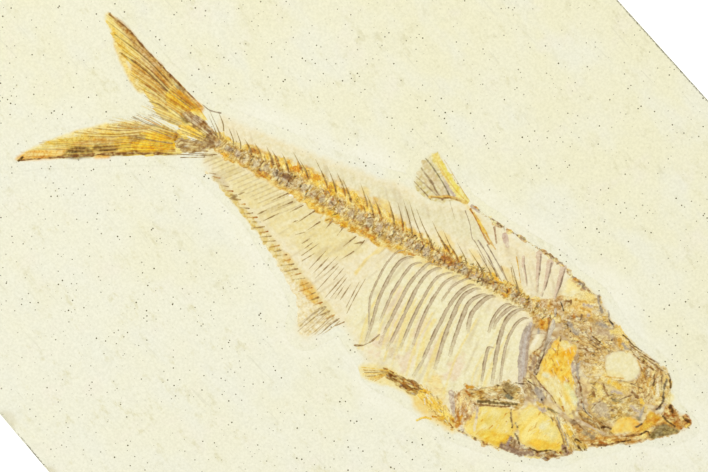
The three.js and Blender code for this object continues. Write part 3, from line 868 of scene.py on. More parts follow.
def fibres(relief):
    """Fine streaks in the skin, which follow the spines behind the ribs and the ribs in front."""
    area = window([(-27, -17), (33, 12)], 0)
    x, y = GRID_X[area], GRID_Y[area]
    lean = np.radians(np.interp(x, [-27, 5, 12, 33], [55, 72, 90, 100]))
    lean = np.where(y > np.interp(x, *np.array(COLUMN).T), np.radians(132), lean)
    across = x * np.sin(lean) - y * np.cos(lean)
    along = x * np.cos(lean) + y * np.sin(lean)
    streaks = smooth_noise(across, along * 0.12, 0.42, 41)
    streaks = streaks + 0.5 * smooth_noise(across, along * 0.2, 0.9, 42)
    body = depth_inside(closed(BODY_OUTLINE), x, y)
    share = 0.32 * ease(body, 0, 2.0) * ease(np.abs(streaks), 0.25, 1.0)
    dark = np.where((streaks > 0)[..., None], linear("taupe"), linear("pale"))
    relief.tint(area, share, dark)


def faint_lines(relief):
    """The faintest bones, which show only as lines in the skin."""
    for x in np.arange(-25, -9, 0.9):
        drop = 2.2 + 0.1 * (x + 25)
        wash_line(relief, [(x, 0.3), (x - drop * 0.75, 0.3 - drop)], 0.22, "taupe", 0.5, 0.3)
    # Yellow and brown smears on the belly, then streaks along the ribs
    wash(relief, 23.6, -14.6, 2.6, 1.5, -25, (0.95, 0.85, 0.50), 0.55, 1.2, (0.4, 0.4, 97, 80))
    wash(relief, 13.5, -12.6, 2.6, 1.0, -25, (0.90, 0.82, 0.70), 0.5, 1.2, (0.4, 0.4, 98, 80))
    random = np.random.default_rng(58)
    for x in random.uniform(8.0, 31, 34):
        top = random.uniform(-8, 1)
        foot = random.uniform(-15.5, -11)
        line = [(x, top), (x + 0.1, (top + foot) / 2), (x + 1.4, foot)]
        width = random.uniform(0.25, 0.7)
        wash_line(relief, line, width, (0.945, 0.865, 0.55), random.uniform(0.3, 0.8), 0.4)


# ---------------------------------------------------------------- backbone


def draw_backbone(relief):
    """The crushed column: tan spools with dark joints, in a crust of amber crumbs."""
    above = [
        (-27, 2.6), (-27, 3.5), (-20, 4.1), (-15, 5.0), (-10, 5.4), (-5, 5.8), (2, 5.9), (6, 5.4),
        (12, 5.2), (20, 5.4), (33, 6), (34, 4.6), (20, 4.2), (6, 3.6), (-10, 3.2),
    ]
    mottle(relief, above, (0.98, 0.90, 0.56), 0.7, 0.36, 50, -42, 2.2, 0.1, 0.8, 0.5)
    below = [
        (-27, 2), (-10, 2.6), (6, 3), (16, 3.8), (16, 3), (12, 2.4), (8, 1.6), (4, 0.8), (-3, 0.1),
        (-8, 0.3), (-16, 0.9), (-26, 0.6),
    ]
    mottle(relief, below, (0.92, 0.80, 0.47), 0.7, 0.36, 51, 55, 1.8, 0.1, 0.8, 0.5)
    for line in NEURAL_SPINES:
        flame(relief, np.array(line[0]), np.array(line[-1]))
    core = [
        (-26, 2.9), (-16, 3.7), (-8, 4.0), (2, 4.6), (12, 4.9), (22, 5.2), (34, 5.6), (34, 3.6), (22, 3.4),
        (14, 2.8), (8, 2.3), (0, 1.8), (-10, 1.6), (-26, 1.2),
    ]
    mottle(relief, core, (0.88, 0.81, 0.63), 0.9, 0.36, 52, 80, 1.3, 0.14, 0.6, 0.8)
    line = smooth_line(COLUMN[:-1])
    length = np.hypot(*np.diff(line, axis=0).T).sum()
    for k in range(VERTEBRAE):
        share = (k + 0.5) / VERTEBRAE
        centre = point_on(line, share)
        ahead = point_on(line, share + 0.5 / length) - centre
        half = 0.65 + 0.45 * math.sin(math.pi * (share * 0.95))
        vertebra(relief, *centre, math.atan2(ahead[1], ahead[0]), length / VERTEBRAE, half, k)
    for x, y, long, high, turn, colour in COLUMN_PATCHES:
        wash(relief, x, y, long, high, turn, colour, 0.8, 1.0, (0.5, 0.4, 56))
    crumbs(relief, above, 260, 0.9, 0.12, 0.14, ["brown", "rust", "amber", "umber", "orange"], 53, -42, 15)
    crumbs(relief, below, 150, 0.7, 0.12, 0.14, ["brown", "dark", "amber", "umber"], 54, 55, 30)
    crumbs(relief, core, 300, 0.6, 0.15, 0.15, ["brown", "umber", "dark", "black", "rust", "slate"], 55)
    front = [(6, 5.2), (16, 5.8), (28, 6), (33, 5.4), (28, 3.8), (16, 3), (6, 2.4)]
    tones = ["rust", "brown", "dark", "amber", "black", "dark"]
    crumbs(relief, front, 280, 0.6, 0.14, 0.16, tones, 57, 60, 50)
    wash(relief, -11.9, 0.4, 0.5, 0.4, 0, (1.0, 1.0, 0.97), 1.0)
    neural_spines(relief)
    haemal_spines(relief)
    tail_base(relief)


def flame(relief, tip, foot):
    """Amber that has spread along the foot of a spine."""
    lean = (foot - tip) / np.hypot(*(foot - tip))
    if -23 < foot[0] < 17:
        spread = [foot - lean * 1.7, foot - lean * 0.6, foot + lean * 0.9]
        stroke(relief, spread, [0.2, 0.8, 1.3], 0.09, (0.96, 0.83, 0.46), 1.2, 0.6, [0.1, 0.7, 0.9])


VERTEBRAE = 34

# x, y, half length, half height, turn and colour of the larger coloured patches on the column
COLUMN_PATCHES = [
    (-24.5, 0.9, 1.2, 0.4, 10, "amber"), (-20.4, 3.8, 1, 0.4, 0, "rust"), (-17, 1.3, 1.7, 0.5, 0, "orange"),
    (-13.9, 4.8, 1.3, 0.6, 0, (0.92, 0.70, 0.20)), (-14.4, 2.7, 1.8, 0.6, 0, "brown"),
    (-11.4, 2.6, 0.25, 0.45, 0, "black"), (-10.5, 4.9, 1.4, 0.5, 20, "amber"),
    (-6.8, 4.9, 1.2, 0.8, -45, (0.93, 0.75, 0.20)), (-8.5, 0.9, 1.3, 0.5, 0, "yellow"),
    (-4.8, 1.3, 1.8, 0.5, 0, (0.93, 0.77, 0.22)), (-2.5, 0.7, 1.1, 0.6, 0, (0.91, 0.73, 0.18)),
    (-4.9, 5.6, 0.8, 0.5, -45, "orange"), (-2.4, 5.2, 1.2, 0.5, -40, "yellow"),
    (1.2, 2, 0.5, 0.4, 0, "rust"), (2, 1.2, 1.6, 0.4, 0, "orange"), (5.3, 3.8, 0.5, 0.5, 0, "dark"),
    (7.2, 2, 0.7, 0.4, 0, "yellow"), (9.6, 1.9, 1.3, 0.4, 0, "orange"), (15, 4.2, 1.5, 0.9, 0, "rust"),
    (22.2, 4.3, 1.2, 0.5, 0, "brown"), (25.6, 4.7, 1.4, 0.35, 0, "rust"), (25.6, 3.9, 1, 0.35, 0, "amber"),
    (23.5, 5.6, 1.8, 0.4, 0, "yellow"), (33.2, 2.8, 0.6, 0.7, 0, "orange"),
    (32.6, 5.8, 0.5, 0.6, 0, "yellow"), (0.8, 3.4, 0.6, 0.5, 0, "bone"),
]


def vertebra(relief, x, y, turn, pitch, half, k):
    """A spool: pale waist, dark rims where it meets its neighbours."""
    c, s = math.cos(turn), math.sin(turn)

    def place(a, b):
        return (x + a * c - b * s, y + a * s + b * c)

    body = ("bone", (0.87, 0.79, 0.62), "slate", "bone", "mauve")[k * 7 % 5]
    wash(relief, x, y, pitch * 0.34, half * 0.75, math.degrees(turn), body, 0.6, 0.8)
    rim = [place(0.5 * pitch, -half), place(0.42 * pitch, 0), place(0.5 * pitch, half)]
    stroke(relief, rim, [0.1, 0.26, 0.1], 0.16, "brown" if k % 3 else "dark", 1.2, 0.5, 0.8)


# The spines over the column, each from its tip to its foot
NEURAL_SPINES = [
    [(-29.9, 5.7), (-26.9, 3.3)], [(-29.7, 5), (-27.3, 3)], [(-28.3, 6), (-27, 4.7)],
    [(-26, 4.9), (-24.5, 3.5)], [(-24.6, 5), (-23.2, 3.6)], [(-22.8, 4.6), (-21.4, 3.6)],
    [(-21, 4.8), (-19.6, 3.8)], [(-19.2, 5.3), (-17.6, 4)], [(-18.1, 5.2), (-16.6, 4.2)],
    [(-16.5, 5.6), (-14.8, 4.2)], [(-14.9, 6.6), (-12.8, 5.1)], [(-13.5, 6.1), (-11.6, 4.8)],
    [(-11.3, 7.4), (-8.2, 5.1)], [(-9.2, 7.4), (-6.6, 5.2)], [(-7.3, 7.3), (-5, 5.4)],
    [(-5.9, 6.8), (-3.8, 5)], [(-3.1, 7.6), (-1, 5.6)], [(-1.5, 6.7), (0.4, 5)], [(0.1, 6.6), (1.9, 5)],
    [(2.1, 7.5), (4.1, 5.4)], [(3.5, 8), (5.8, 5.4)], [(3.9, 9), (7.4, 5.4)],
    [(4.9, 9.2), (7.4, 6.9), (9.6, 4.9)], [(6.2, 9), (8.8, 6.9), (11.2, 5.1)],
    [(9.9, 8.2), (12.2, 6.6), (14.2, 5.5)], [(10.8, 7.4), (13, 6)], [(12, 7.9), (14, 6.4), (15.8, 5.3)],
    [(15, 7.2), (17.2, 5.6)], [(17, 7.3), (20, 5.6)], [(18.5, 7.7), (21.6, 5.8)], [(20, 7.6), (22.4, 6.2)],
    [(24.2, 8.6), (26.3, 6.2)], [(25, 7.4), (26.8, 5.8)],
]


def neural_spines(relief):
    for k, line in enumerate(NEURAL_SPINES):
        foot = np.array(line[-1])
        lean = foot - line[-2]
        lean = lean / np.hypot(*lean)
        bent = [line[0] - lean * 0.3, *line[1:-1], foot - lean * 0.4 + (0.15, 0.1), foot + lean * 0.7]
        stroke(relief, bent, [0.14, 0.2, 0.24], 0.12, (0.60, 0.50, 0.33), 0.4, 0.3, [0.2, 0.8, 1, 1])
        if -22 < foot[0] < 17:
            base = [foot - lean * 1.8, foot - lean * 0.6, foot + lean * 0.9]
            tone = "brown" if k % 2 else "rust"
            stroke(relief, base, [0.12, 0.18, 0.2], 0.15, tone, 0.8, 0.4, [0, 0.8, 1])


# The spines under it, each from its foot to its tip
HAEMAL_SPINES = [
    [(-12.6, 0.6), (-14.3, -1.8)], [(-11.3, -0.2), (-12.8, -2.2)], [(-9.5, 0.2), (-10.8, -1.8)],
    [(-7.5, 0.3), (-9, -2.8)], [(-5.9, -0.8), (-7, -3.1)], [(-4.2, 0.5), (-4.5, -1.2)],
    [(-2.2, 0.2), (-2.4, -1.5)], [(0.3, 0.1), (-0.7, -2.4)], [(1.5, -0.3), (0.6, -1.1)],
    [(1.8, 0.2), (1.6, -1)], [(1.2, -2.2), (0.1, -4.2)],
]


def haemal_spines(relief):
    for line in HAEMAL_SPINES:
        stroke(relief, line, [0.3, 0.16], 0.12, "umber", 0.5, 0.3, [1, 0.9, 0.3])
    for line in ([(-31, -2.8), (-26, -0.2)], [(-30.3, -3), (-27, -1)], [(-29.5, -1.7), (-25.5, 0.3)]):
        stroke(relief, line, 0.2, 0.1, "umber", 0.4)
    stroke(relief, [(-31.5, 6.1), (-30, 5.9), (-28.3, 6.4)], [0.16, 0.3], 0.1, "slate", 0.4)


def tail_base(relief):
    """The fan of flat bones that carries the tail's rays."""
    for line in ([(-27.5, 1.9), (-32.8, 1.4)], [(-27.5, 1.6), (-32.6, 0.4)]):
        stroke(relief, line, [0.5, 0.9], 0.1, (0.95, 0.81, 0.40), 0.4, 0.5, [0.7, 1])
    upper = [(-26.6, 2.9), (-29.5, 3.9), (-32.3, 4.3), (-33.8, 3.3), (-31.4, 2.4), (-27, 1.6)]
    mottle(relief, upper, "tan", 0.8, 0.5, 57, -15, 1.6, 0.14)
    wash(relief, -31.1, 3.4, 0.9, 0.7, -15, "bone", 0.8, 0.8)
    lower = [(-26.8, 1.7), (-29, 0.8), (-32.3, -0.5), (-31.4, -2.1), (-28.8, -1.2), (-26.6, 0.6)]
    mottle(relief, lower, (0.80, 0.72, 0.56), 0.8, 0.5, 58, 35, 1.6, 0.14)
    middle = [(-28.2, 1.8), (-29.4, 2.5), (-31.8, 2.0), (-32.7, 0.6), (-31.0, 0.5), (-29, 1.1)]
    mottle(relief, middle, (0.99, 0.90, 0.52), 0.4, 0.6, 59, 10, 2.0, 0.12, 0.4, 0.2)
    crumbs(relief, upper, 40, 0.8, 0.2, 0.15, ["brown", "dark", "umber"], 60, -15, 30)
    crumbs(relief, lower, 30, 0.8, 0.2, 0.15, ["brown", "umber", "slate"], 61, 35, 30)
    tips = [(-34, 4.4), (-33.8, 2.4), (-31.8, -2.2)]
    rays(relief, [(-27, 2.6), (-27, 0.6)], tips, 14, 0.2, ["brown", "umber"], 56)


# ---------------------------------------------------------------- ribs and nape bones

# Points run down from the column. Then the width.
RIBS = [
    ([(7.4, 1.5), (6.9, 0), (6.7, -2.3), (7.1, -6.8), (8.3, -9.5), (10, -12.5)], 0.32),
    ([(9.2, 1.3), (8.4, 0), (8.2, -2.5), (8.3, -5), (8.6, -7.3), (9.2, -9.5), (10.2, -14)], 0.5),
    ([(10.8, 1.2), (10.2, 0), (9.9, -3.6), (10, -6), (10.5, -10)], 0.42),
    ([(12.5, 2), (11.9, 0), (11.5, -2.5), (11.6, -5), (11.9, -10), (12.3, -13)], 0.5),
    ([(14, 2), (13.2, 0.5), (12.9, -2.2), (13.1, -5), (13.6, -10.5), (13.6, -13.2)], 0.52),
    ([(15.9, 2.3), (14.9, 1), (14.6, -1), (14.6, -3.5), (14.8, -7), (15.4, -12)], 0.45),
    ([(17.3, 2.5), (16.3, 0.8), (16, -1.5), (16, -4), (16.3, -7), (16.8, -9.5), (17, -11)], 0.45),
    ([(18.9, 2.9), (17.8, 1.2), (17.5, -0.5), (17.4, -2.1)], 0.4),
    ([(20, 2.4), (19.1, 0.5), (18.8, -2), (18.9, -5.5), (19.2, -9), (19.5, -12), (19.5, -14.8)], 0.55),
    ([(21, 2.3), (20.1, 0.8), (19.9, -1.3), (20.2, -4), (20.7, -7), (21.3, -9.5), (21.9, -12)], 0.6),
    ([(22.4, 2), (21.5, 0.6), (21.3, -1), (21.8, -4), (22.3, -6.7), (22.9, -9)], 0.6),
    ([(23.6, 2.4), (22.9, 0.8), (22.6, -1), (22.9, -2.8), (23.5, -4.3)], 0.7),
    ([(26.5, 2.6), (26, 1), (26, -0.8), (26.4, -2.6)], 0.45),
    ([(27.5, 2.7), (26.8, 1), (26.6, -0.5), (26.8, -1.7)], 0.5),
    ([(28.8, 3), (28, 1.5), (27.9, -0.5), (28.3, -2.2), (29, -4.5), (30, -7), (31, -9.5)], 0.6),
    ([(30, 2), (29.5, 0.5), (29.6, -2), (30.3, -4.5), (31.2, -6.8), (32.2, -9)], 0.45),
    ([(27.6, -4.8), (28.2, -7), (29, -9), (29.5, -10.3)], 0.45),
]

# Points run up from the column. Then the width.
NAPE_BONES = [
    ([(27.9, 6.9), (26.8, 8.4), (25.9, 9.4), (25.2, 10.6)], 0.5),
    ([(29.7, 6.9), (28.9, 8.6), (28, 10.6), (27.1, 12.4)], 0.85),
    ([(30.6, 6.7), (30.4, 8.2), (29.9, 10.2), (29.3, 12)], 0.85),
    ([(33.2, 6.3), (32.6, 7.8), (32.3, 9.6), (31.6, 12.3)], 0.85),
]


def draw_rib(relief, line, width):
    """A flat bar with a thin dark line along each edge, which fades out on the belly."""
    line = np.array([np.array(line[0]) + (0.7, 0.5), *line])
    fade = np.array([0.7, 0.8, 0.85, 0.85, 0.7, 0.3])
    widths = np.array([0.6, 1.2, 1.4, 1.3, 1.1, 0.7]) * width
    stroke(relief, line, widths, 0.12, (0.775, 0.705, 0.58), 0.3, 0.15, fade)
    stroke(relief, line - (width * 0.5, 0), width * 0.3, 0.13, (0.59, 0.49, 0.37), 0.7, 0.3, fade)
    stroke(relief, line + (width * 0.45, 0), width * 0.2, 0.13, (0.68, 0.60, 0.47), 0.9, 0.3, fade * 0.4)


def draw_nape_bone(relief, line, width):
    """A blade, broad at the back and pointed below."""
    fade = [0.5, 0.9, 1, 0.9]
    stroke(relief, line, np.array([0.3, 0.7, 1.1, 1.5]) * width, 0.12, (0.87, 0.785, 0.68), 0.3, 0.2, fade)
    stroke(relief, np.array(line) + (width * 0.3, 0), width * 0.3, 0.12, (0.64, 0.56, 0.47), 0.7, 0.3, fade)


# ---------------------------------------------------------------- head

SKULL = [
    (34.3, 8.4), (36, 10), (38.6, 11.2), (42.8, 8.7), (50, 7), (54, 6.4), (56, 4.6), (56.9, 1.4),
    (53.4, 0.2), (50, -0.2), (43.4, -0.6), (41.3, 1), (39.6, 3), (37.1, 3.2), (35.6, 5.6),
]
CHEEK = [(44.6, -1.0), (50, -0.6), (54.3, -0.2), (53.2, -2.4), (50.6, -5.0), (48, -6), (45.6, -4)]


def draw_skull(relief):
    mottle(relief, SKULL, (0.92, 0.85, 0.65), 0.6, 0.4, 60, 30, 1.4, 0.12, 0.5, 0.45)
    brain = [
        (35.6, 5.6), (37, 7), (40, 8.2), (43, 8.6), (45, 6.8), (45, 5), (44, 3), (43, 0.4), (41.2, 0.6),
        (40, 2.6), (37, 3),
    ]
    mottle(relief, brain, (0.86, 0.77, 0.59), 0.6, 0.4, 61, 10, 1.6, 0.15, 0.6, 0.6)
    front = [(49.6, 6.4), (54, 6), (54.2, 2.6), (54.4, 0.2), (50.4, 0.4), (51, 3.5)]
    mottle(relief, front, (0.87, 0.77, 0.57), 0.6, 0.4, 63, 110, 1.6, 0.14, 0.5, 0.6)
    crumbs(relief, brain, 240, 0.55, 0.11, 0.18, ["brown", "umber", "dark", "slate"], 65, 5, 50)
    tones = ["straw", "ochre", "yellow", "rust", "umber", "dark", "slate"]
    crumbs(relief, SKULL, 300, 0.7, 0.11, 0.16, tones, 66, 20, 60)
    crumbs(relief, front, 110, 0.6, 0.11, 0.16, ["dark", "brown", "umber", "straw"], 67, 115, 60)
    over = [(44.4, 8.2), (47, 7.5), (51, 6.8), (54.4, 6.2), (53, 5.3), (49, 6.1), (46, 5.9)]
    crumbs(relief, over, 60, 1.4, 0.13, 0.18, ["dark", "brown", "straw", "pale", "mauve"], 68, -12, 14)
    cut_out(relief, EYE)


def cut_out(relief, outline):
    """Leaves the bare stone showing inside an outline."""
    curve = closed(outline)
    area = window(curve, 0.5)
    depth = depth_inside(curve, GRID_X[area], GRID_Y[area]) + 0.5 * BUMPS[area]
    relief.height[area] = np.where(depth > 0.1, EMPTY, relief.height[area] * ease(-depth, -0.1, 0.4))
    relief.colour[area] += (GROUND[area] - relief.colour[area]) * ease(depth, -0.4, 0.1)[..., None]


def draw_cheek(relief):
    mottle(relief, CHEEK, (0.88, 0.80, 0.58), 0.6, 0.4, 71, 35, 1.5, 0.13, 0.6, 0.5)
    crumbs(relief, CHEEK, 170, 0.8, 0.11, 0.15, ["brown", "umber", "slate", "straw", "dark"], 72, 30, 50)


def draw_front_gill_bone(relief):
    line = [(40.5, 1.2), (40.9, -0.5), (42.3, -2), (44, -4), (45.3, -5.6), (47, -6.1), (50.4, -6.6)]
    stroke(relief, line, [0.8, 1.1, 1.0, 0.7], 0.13, (0.80, 0.71, 0.56), 0.7, 0.5)
    for shift, tone in ((-0.3, "slate"), (0.3, "umber")):
        stroke(relief, np.array(line) + (shift, shift), [0.15, 0.25, 0.2], 0.14, tone, 1.2, 0.5, 0.7)
    lower = [(45, -5.8), (51, -6.0), (51, -7.6), (46, -7.4)]
    mottle(relief, lower, (0.82, 0.71, 0.49), 0.7, 0.4, 73, -8, 2.0, 0.14, 0.4, 0.5)
    crumbs(relief, lower, 40, 1.2, 0.15, 0.18, ["dark", "brown", "straw"], 74, -8, 15)


def draw_gill_cover(relief):
    outline = [
        (36.3, 2.4), (39.6, 2.4), (40.6, 0.2), (41.8, -2.2), (44.6, -6.0), (45.2, -7.8), (42, -7.3),
        (38.8, -5.9), (36.4, -4.6),
    ]
    mottle(relief, outline, (0.95, 0.88, 0.60), 0.45, 0.6, 74, -40, 1.8, 0.11, 0.5, 0.15)
    upper = [
        (36.4, 1.4), (38.6, 1.2), (39.4, 2), (40.2, 1), (40.6, -1), (42.6, -2.4), (42.4, -3), (40, -3.4),
        (37.6, -3.2), (36.2, -3), (36.6, -1),
    ]
    mottle(relief, upper, (0.96, 0.80, 0.32), 0.4, 0.7, 76, 70, 1.4, 0.12, 0.6, 0.15)
    crumbs(relief, upper, 60, 0.7, 0.14, 0.13, ["rust", "orange", "yellow"], 77, -50, 40)
    crumbs(relief, outline, 70, 0.9, 0.12, 0.13, ["ochre", "orange", "pale", "straw"], 78, -50, 25)


def draw_lower_jaw(relief):
    jaw = [
        (45, -8.7), (48, -8), (52, -7), (54.8, -4.2), (55.2, -1), (57, -0.2), (60.7, 0.1), (60.6, -1.4),
        (57.8, -4.2), (53.8, -7.4), (49.6, -10.2), (46.6, -9.9),
    ]
    mottle(relief, jaw, (0.86, 0.73, 0.48), 0.8, 0.5, 76, 40, 1.8, 0.16, 0.4, 0.5)
    crumbs(relief, jaw, 110, 1.0, 0.14, 0.18, ["dark", "brown", "umber", "straw", "ochre"], 79, 35, 30)
    block = [
        (57.1, -2.2), (58, -1.2), (59.5, -1), (60.7, -0.9), (60.2, -1.7), (59, -2.8), (57.8, -4.1),
        (56.8, -4.1),
    ]
    mottle(relief, block, (0.62, 0.56, 0.39), 0.3, 0.4, 78, 30, 1.4, 0.24, 0.25, 0.3)


def draw_upper_jaw(relief):
    outline = [
        (56.9, 0.0), (57.0, 2.1), (58.6, 1.7), (59.6, 0.9), (60.3, 1.8), (61.7, 1), (61.6, 0), (60, -0.2),
    ]
    mottle(relief, outline, (0.80, 0.62, 0.36), 0.8, 0.4, 78, 0, 1.4, 0.16, 0.35, 0.5)
    crumbs(relief, outline, 24, 0.6, 0.16, 0.2, ["dark", "brown", "rust", "ochre"], 81)


def draw_shoulder_bone(relief):
    line = [(31.5, 2.0), (31.8, 0), (32.5, -2), (33.6, -4.2), (34.6, -6.2), (35.2, -7.2)]
    stroke(relief, line, [0.6, 1.5, 1.7, 1.6, 1.5, 0.8], 0.12, (0.785, 0.725, 0.655), 0.3, 0.3)
    for shift, tone in ((-0.5, (0.74, 0.69, 0.62)), (0.05, (0.80, 0.77, 0.73)), (0.6, (0.72, 0.63, 0.52))):
        ridge = np.array(line) + (shift, shift * 0.4)
        stroke(relief, ridge, [0.2, 0.4, 0.4, 0.2], 0.13, tone, 0.6, 0.2, 0.6)
    foot = [(34.9, -4.6), (37, -5.2), (39.4, -6.2), (39.6, -8), (37, -8.2), (35, -7.2)]
    mottle(relief, foot, (0.80, 0.73, 0.62), 0.6, 0.4, 80, -35, 1.8, 0.12, 0.5, 0.6)


def draw_shoulder_brace(relief):
    line = [(33.8, 6), (34.4, 4.5), (34.9, 2.6), (35.3, 0.8), (35.6, -2), (36.1, -4.6)]
    stroke(relief, line, [0.6, 0.9, 0.9, 0.7, 0.7], 0.13, (0.80, 0.75, 0.65), 0.5, 0.4)
    stroke(relief, line[2:], [0.3, 0.6, 0.5], 0.14, (0.66, 0.56, 0.42), 1.4, 0.8, [0, 0.8, 0.9])


def draw_breast_plate(relief, outline, seed):
    mottle(relief, outline, (0.955, 0.885, 0.56), 0.35, 0.8, seed, 80, 2.4, 0.1, 0.4, 0.1)
    tones = ["orange", "amber", "straw", "pale", "ochre"]
    crumbs(relief, outline, 40, 1.0, 0.14, 0.11, tones, seed, 80, 30)


# Each is a colour, a strength and an outline.
HEAD_AREAS = [
    ((0.96, 0.91, 0.68), 0.8, [(33.4, 8.6), (36, 8.4), (38.4, 10.2), (37.4, 11.4), (33.4, 11.6)]),
    ((0.94, 0.80, 0.46), 0.5, [(34.8, 8.7), (36.8, 9.5), (39, 9), (39.4, 7.4), (36.4, 7)]),
    ((0.94, 0.87, 0.60), 0.5, [(45.2, 1.4), (47.6, 2.4), (50.6, 1.6), (49.8, -0.8), (46, -0.8)]),
    ((0.95, 0.83, 0.48), 0.5, [(43, 8.8), (44.6, 8.6), (46.4, 7.2), (46, 5.8), (44.2, 7)]),
    ((0.83, 0.765, 0.64), 0.6, [(39.8, 7.8), (43.4, 7.8), (43.8, 5.8), (40.6, 5.6)]),
    ((0.93, 0.77, 0.36), 0.7, [(32.4, 4.4), (33.6, 4.4), (34.2, 2.6), (33, 2), (32.4, 2.8)]),
    ((0.94, 0.90, 0.70), 0.7, [(54, 4), (55, 4.2), (55.1, 2.2), (54.2, 1.6)]),
    ((0.94, 0.91, 0.72), 0.7, [(56, 4), (57.4, 3.4), (57.2, 1.8), (56.4, 2)]),
    ((0.96, 0.84, 0.43), 0.85, [
        (51.1, -3.9), (52.5, -3.1), (53.8, -2.9), (54.8, -3.4), (54.6, -4.6), (52.5, -6.3), (51, -6.6),
    ]),
    ((0.91, 0.70, 0.26), 0.85, [(53.4, -2.9), (54.8, -3.2), (54.8, -4.2), (54, -4.6)]),
    ((0.87, 0.66, 0.18), 0.85, [
        (55.1, -0.6), (56.6, -0.4), (57.1, -1.4), (56.4, -3), (55.4, -4.2), (54.9, -3.6), (55.2, -2.2),
    ]),
    ((0.93, 0.90, 0.69), 0.85, [(40.6, -10.2), (43.2, -10.2), (44.6, -11.4), (44, -12.2), (41, -12)]),
    ((0.95, 0.79, 0.25), 0.85, [(41.2, -13.4), (45.4, -12.2), (45, -13.7), (43, -14.8), (40.6, -14.8)]),
    ((0.93, 0.79, 0.29), 0.85, [(33, -16.4), (37.4, -15), (37.6, -16.4), (36.4, -17.8), (33, -17.8)]),
    ((0.93, 0.93, 0.84), 0.85, [(37, -3.7), (38, -3.6), (38.2, -4.2), (37.2, -4.4)]),
    ((0.92, 0.91, 0.70), 0.85, [
        (40.8, -3.4), (42, -3.3), (44.2, -4.8), (44.2, -6), (43, -5.4), (41, -4.2),
    ]),
    ((0.50, 0.42, 0.25), 0.5, [(32.4, -8.2), (34.4, -7.8), (35.2, -9.4), (33, -10.4)]),
]

